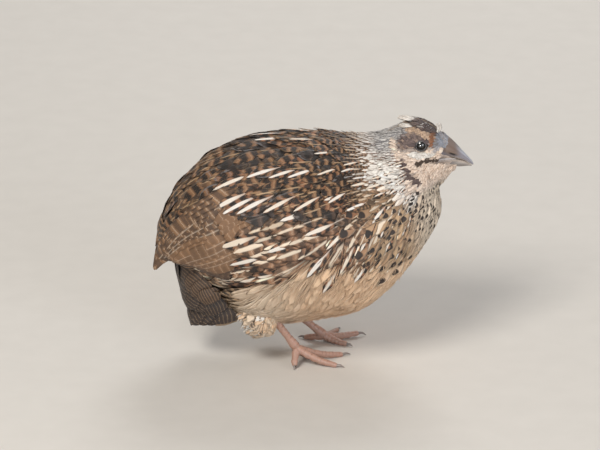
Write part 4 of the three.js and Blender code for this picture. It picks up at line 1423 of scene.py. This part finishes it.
def build_bill():
    """Both halves of the bill."""
    upper, level = bill_grid(UPPER_BILL, True, rows=120, columns=120)
    lid, slit = nose_shape(upper)
    # Grey horn with a paler cutting edge, browner behind the nostril and on its lid, with a
    # painted highlight along the ridge and painted shade in the nostril's slit.
    shade = mix(HORN["grey"], HORN["edge"], smooth(0.3 - level, 0, 0.2)[..., None])
    # Painted highlight: pale blue-white along the top of the ridge.
    shade = mix(shade, HORN["ridge"], 0.8 * smooth(level, 0.72, 0.86)[..., None])
    face = smooth(69.5 - upper[..., 0], 0, 4)[..., None] * smooth(level, 0.3, 0.5)[..., None]
    shade = mix(shade, HORN["brown"], 0.85 * face)
    shade = mix(shade, HORN["brown"], 0.85 * lid[..., None])
    # Painted shade: the nostril's slit is darkened where its opening would lie.
    shade = mix(shade, HORN["dark"], np.clip(slit * 1.2, 0, 1)[..., None])
    top = loft("bill_upper_horn", upper, BILL, shade)
    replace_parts(top, "bill_upper")
    lower, level = bill_grid(LOWER_BILL, False)
    shade = mix(HORN["lower"], HORN["edge"], smooth(level, 0.5, 0.9)[..., None])
    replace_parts(loft("bill_lower_horn", lower, BILL, shade), "bill_lower")


def mouth_rims():
    """The bare rims of the mouth, which run back from the bill to under the eye."""
    x, z = catmull(MOUTH, np.linspace(0, 1, 14)).T
    out = np.minimum(flank(x, z) + 0.7 + 9 * smooth(x, 62, 63), table(BESIDE_HORN, x))
    f, turn = rings(60, 20)
    for side, name in ((-1, "right"), (1, "left")):
        parts = []
        for rise, tone in RIMS:
            grid = on_tube(np.stack([x, side * out, z + rise], axis=-1), RIM, f, turn)
            parts.append(loft("rim", grid, BILL, linear(tone) * np.ones((f.size, 1))))
        joined("mouth_rim_" + name, parts)


def feathers_on(name, place, normal, heading, length, width, lift, colours, stations=6,
                bend=(0.0, 0.0, 0.0)):
    """Small feathers at given places: from each place along its heading, bending as they go."""
    f = np.linspace(0, 1, stations)[None, :, None]
    spine = (place[:, None] + heading[:, None] * (length[:, None, None] * f)
             + normal[:, None] * lift * f + np.array(bend) * f ** 2)
    up = np.repeat(normal[:, None], stations, axis=1)
    coat = plain_coat(len(place), "buff", "buff", "buff", (0.05, 0.0, 0.3, 0.25))
    coat.update(ground=colours, mark=0.35 * colours)
    bake = np.stack([np.arctan2(place[:, 1], place[:, 2] - 90) / math.pi, place[:, 0]], axis=-1)
    build_vanes(name, spine, up, width, coat, bake, SPOTTED_VANE, "round", 4, 0.08)


def across(normal, heading, rise=0.0):
    """Headings laid along the surface that the normals stand on, with a little rise."""
    return unit(heading - normal * ((heading * normal).sum(-1, keepdims=True) - rise))


# The feathers on the base of each half of the bill: how far ahead they creep, the spot that
# they lead away from, the height of the half's middle, and their colour.
FACE_COAT = tabled("stations upper ahead spot middle tone", {
    "coat_forehead": (UPPER_BILL, True, 0.17, (70, 0, 89), 93.0, "blue_grey"),
    "coat_chin": (LOWER_BILL, False, 0.42, (71, 0, 91), 89.0, "throat"),
})
# How many feathers each half has, and the rows and columns of the grid that they stand on.
FACE_COUNT, FACE_GRID = 240, 120


def face_coat():
    """The feathers that creep forward over the base of the bill, and those of the chin."""
    count = FACE_COUNT
    for name, part in FACE_COAT.items():
        grid, level = bill_grid(part["stations"], part["upper"], FACE_GRID, FACE_GRID)
        good = level[0] > 0.55 if part["upper"] else level[0] < 0.42
        j = RNG.choice(np.flatnonzero(good), count)
        i = (RNG.uniform(0, part["ahead"], count) * (FACE_GRID - 1)).astype(int)
        place = grid[i, j]
        beside = grid[i, (j + 1) % FACE_GRID]
        normal = unit(np.cross(grid[i + 1, j] - place, beside - place))
        middle = place * [1.0, 0.0, 0.0] + [0.0, 0.0, part["middle"]]
        normal = normal * np.sign((normal * (place - middle)).sum(-1, keepdims=True))
        heading = unit(place - part["spot"] + RNG.normal(0, 0.6, (count, 3)))
        colours = SHADES[part["tone"]] * RNG.uniform(0.8, 1.15, (count, 1))
        feathers_on(name, place, normal, across(normal, heading),
                    RNG.uniform(2.0, 3.4, count), RNG.uniform(0.9, 1.5, count), 0.35, colours)


# The crown's ruffled feathers: how many, where on the body, and the share that stays dark. The
# tuft's two halves: the spot, the rise, the length and how many.
RUFFLE = {"count": 150, "t": (0.79, 0.915), "turn": (0.95, 2.19), "dark": 0.68}
TUFT = {
    "upper": ((48.2, -1.2, 107.2), 0.36, 6.6, 16),
    "lower": ((47.4, -4.0, 105.8), 0.12, 5.0, 14),
}


def crown_ruffle():
    """The crown's feathers, standing up a little, some of them streaked with grey."""
    count = RUFFLE["count"]
    t, turn = (RNG.uniform(*RUFFLE[key], count) for key in ("t", "turn"))
    place = on_body(t, turn, 0.1)
    normal = unit(on_body(t, turn, 1.0) - place)
    heading = across(normal, np.array([-1.0, 0.0, 0.0]) + RNG.normal(0, 0.16, (count, 3)), 0.14)
    streaked = (RNG.uniform(0, 1, (count, 1)) > RUFFLE["dark"]) * 0.7
    colours = mix(SHADES["crown"], SHADES["pale_grey"], streaked)
    feathers_on("crown_ruffle", place, normal, heading, RNG.uniform(2.6, 4.2, count),
                RNG.uniform(0.8, 1.3, count), 0.9, colours * RNG.uniform(0.8, 1.2, (count, 1)))


def white_tuft():
    """The raised white tuft behind the crown."""
    for name, (spot, rise, length, count) in TUFT.items():
        place = np.array(spot) + RNG.normal(0, 1, (count, 3)) * [0.5, 0.5, 0.25]
        heading = unit(np.array([-1.0, 0.0, rise]) + RNG.normal(0, 0.06, (count, 3)))
        normal = np.tile(unit(np.array([0.2, -1.0, 0.6])), (count, 1))
        feathers_on("white_tuft_" + name, place, normal, heading,
                    length * RNG.uniform(0.75, 1.05, count), RNG.uniform(1.2, 1.8, count), 0.2,
                    SHADES["white"] * RNG.uniform(0.88, 1, (count, 1)), bend=(0.0, 0.0, -0.7))


def curled_plume():
    """The pale plume that curls up in front of the crown."""
    place = np.array([[58.5, -2.9, 102.0], [58.8, -2.5, 102.0], [58.2, -3.2, 102.0]])
    heading = unit(np.array([[0.8, -0.05, 1.0], [0.9, 0.05, 0.9], [0.65, -0.1, 1.0]]))
    normal = np.tile(unit(np.array([0.3, -1.0, 0.3])), (3, 1))
    feathers_on("curled_plume", place, normal, heading, np.array([6.0, 5.2, 5.0]),
                np.array([1.5, 1.2, 1.2]), 0.2, np.tile(SHADES["white"], (3, 1)), stations=10,
                bend=(-3.0, 0.0, 0.3))


def turned_round_eye(side, profile, columns=72):
    """Rings round the eye's axis from (radius, how far out) pairs."""
    radius, out = (np.array(v, float)[:, None] for v in zip(*profile))
    turn = np.linspace(0, 2 * math.pi, columns, endpoint=False)[None, :]
    return np.stack([EYE["x"] + radius * np.cos(turn), side * (EYE["y"] + out) + 0 * turn,
                     EYE["z"] + radius * np.sin(turn)], axis=-1)


# The lid round the eye's opening, as (how far outside the opening, how far out from the ball)
# and whether beads stand on it.
LID_SECTION = [(-0.08, -0.3, 0), (-0.08, 0.12, 0), (0.04, 0.3, 1), (0.16, 0.32, 1),
               (0.3, 0.18, 1), (0.55, -0.2, 0), (1.0, -0.9, 0)]


def build_eyes():
    """Each eye as a ball with a bulging cornea, and the bare lid round it."""
    opening = EYE["opening"]
    edge = math.sqrt(EYE["ball"] ** 2 - opening ** 2)
    profile = [(EYE["ball"] * math.sin(a), EYE["ball"] * math.cos(a))
               for a in np.linspace(0.02, math.pi - 0.02, 48)]
    profile = [(r, out + EYE["cornea"] * max(0, 1 - (r / opening) ** 2) * (out > 0))
               for r, out in profile]
    section = [(opening + more, edge + out) for more, out, beaded in LID_SECTION]
    beaded = np.array([row[2] for row in LID_SECTION])[:, None]
    for side, name in ((-1, "right"), (1, "left")):
        ball = turned_round_eye(side, profile)
        off = np.hypot(ball[..., 0] - EYE["x"], ball[..., 2] - EYE["z"])
        tone = np.clip(off / opening * 0.5, 0, 1)[..., None] * np.ones(3)
        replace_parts(loft("eyeball_" + name, ball, CORNEA, tone), "eye_" + name)
        lid = turned_round_eye(side, section)
        lid[..., 1] += 0.05 * np.sin(np.arange(72) * 2 * math.pi / 4.5) * side * beaded
        loft("eyelid_" + name, lid, LID)


# Legs and feet.

def scaled_tube(name, path, radii, rows, scutes, plate, narrow, pads=0):
    """A leg or toe with overlapping plates along its front or top."""
    f, turn = rings(rows, 40)
    step = (f * scutes) % 1.0
    front = smooth(np.sin(turn), 0.05, 0.5)
    raised = plate * front * (0.35 + 0.65 * (1 - step)) * smooth(step, 0.0, 0.08)
    raised = raised + 0.05 * (1 - front) * np.sin(f * scutes * 4 * math.pi) * np.sin(turn * 9)
    if pads:
        under = smooth(-np.sin(turn), 0.2, 0.8)
        raised = raised + under * 0.16 * np.sin(f * pads * 2 * math.pi) ** 2
    grid = on_tube(path, radii, f, turn, raised, narrow)
    grid[..., 2] = np.maximum(grid[..., 2], 0.0)
    # Painted shade: dark in the groove where each plate starts, and a little darker on the under
    # and back side.
    painted_leg_shade = mix(1.0, smooth(step, 0.0, 0.1), front) * np.clip(0.85 + 0.15 * front, 0, 1)
    return loft(name, grid, LEG, painted_leg_shade[..., None] * np.ones(3))


CLAW_RADII, CLAW_NARROW = [(0, 0.75), (0.33, 0.72), (0.7, 0.45), (1, 0.1)], 0.85


def build_claw(name, node_name, start, tip):
    """A claw that grows out of its toe and arches down to its tip."""
    start, tip = np.array(start), np.array(tip)
    back = start - (tip - start) * 0.3
    middle = (start + tip) / 2 + np.array([0, 0, 0.55])
    grid = on_tube([back, start, middle, tip], CLAW_RADII, *rings(20, 18), 0.0, CLAW_NARROW)
    grid[..., 2] = np.maximum(grid[..., 2], 0.0)
    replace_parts(loft(name, grid, CLAW), node_name)


def build_leg(side, leg):
    """The scaled shank and toes as one skin, and the claws."""
    hock, foot = np.array(leg["hock"]), np.array(leg["foot"])
    shank = [hock, mix(hock, foot, 0.5) + [0, 0, 0.2], foot]
    parts = [scaled_tube("shank", shank, SHANK, 240, 13, 0.36, SHANK_NARROW)]
    for toe, (bend, end, tip) in leg["toes"].items():
        joints = 1 if toe == "hind" else 3
        radii = [(f, table(TOE, f) * (1 + 0.1 * math.sin(f * joints * 2 * math.pi) ** 2))
                 for f in np.linspace(0, 1, 25)]
        parts.append(scaled_tube("toe", [foot, bend, end], radii, 150, 6 if joints == 1 else 12,
                                 0.16, TOE_NARROW, pads=joints))
        build_claw(f"claw_horn_{toe}_{side}", f"claw_{toe}_{side}", end, tip)
    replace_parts(joined("leg_skin_" + side, parts), "leg_" + side)


# Stage, light and camera.

# Half the floor's width, and each lamp's place, width, power and colour. The catch light shows
# in the eyes and the gloss alone.
FLOOR_HALF = 6.0
LAMPS = {
    "key": ((-0.5, -0.9, 1.1), 0.6, 14.0, "fffaf2"),
    "fill": ((0.8, -1.1, 0.35), 0.9, 8.0, "f4f7ff"),
    "back": ((0.2, 0.9, 0.9), 0.6, 6.0, "ffffff"),
    "catch": ((-0.19, -1.17, 0.19), 0.26, 12.0, "ffffff"),
}
LIT_SPOT = (0, 0, 0.06)
SKY = {"colour": "dedbd8", "strength": 0.4}


def build_stage():
    """The plain floor."""
    corners = [(-1, -1, 0), (1, -1, 0), (1, 1, 0), (-1, 1, 0)]
    mesh = bpy.data.meshes.new("floor")
    mesh.from_pydata([tuple(FLOOR_HALF * v for v in corner) for corner in corners], [],
                     [(0, 1, 2, 3)])
    mesh.materials.append(studio_paper())
    floor = placed("floor", mesh)


def build_lights():
    """Soft lamps and a pale sky."""
    for name, (place, size, power, colour) in LAMPS.items():
        lamp = bpy.data.lights.new(name, "AREA")
        lamp.shape = "DISK"
        lamp.size = size
        lamp.energy = power
        lamp.color = linear(colour)
        obj = placed(name, lamp)
        obj.location = place
        aim = Vector(LIT_SPOT) - obj.location
        obj.rotation_euler = aim.to_track_quat("-Z", "Y").to_euler()
        obj.visible_diffuse = name != "catch"
    world = bpy.data.worlds.new("studio")
    world.use_nodes = True
    plug(world.node_tree.nodes["Background"],
         {"Color": rgba(SKY["colour"]), "Strength": SKY["strength"]})
    bpy.context.scene.world = world
    bpy.context.scene.view_settings.view_transform = "Standard"


def build_camera():
    """A long lens at the photograph's height and side."""
    target = (np.array(VIEW["target"]) + SHIFT) * MM
    lift = math.radians(VIEW["elevation"])
    away = VIEW["distance"] * MM
    lens = bpy.data.cameras.new("camera")
    lens.sensor_width = VIEW["sensor"]
    lens.lens = VIEW["sensor"] * VIEW["distance"] / VIEW["frame"]
    lens.clip_end = 20.0
    camera = placed("camera", lens)
    camera.location = target + [0, -away * math.cos(lift), away * math.sin(lift)]
    camera.rotation_euler = (math.pi / 2 - lift, 0, 0)
    bpy.context.scene.camera = camera


body_skin()
body_coat()
overlay_coat()
loose_barbs()
face_coat()
crown_ruffle()
white_tuft()
curled_plume()
for side_name, leg_data in LEGS.items():
    thigh_coat(side_name, leg_data)
    build_leg(side_name, leg_data)
build_wings()
build_tail()
build_bill()
mouth_rims()
build_eyes()
build_stage()
build_lights()
build_camera()
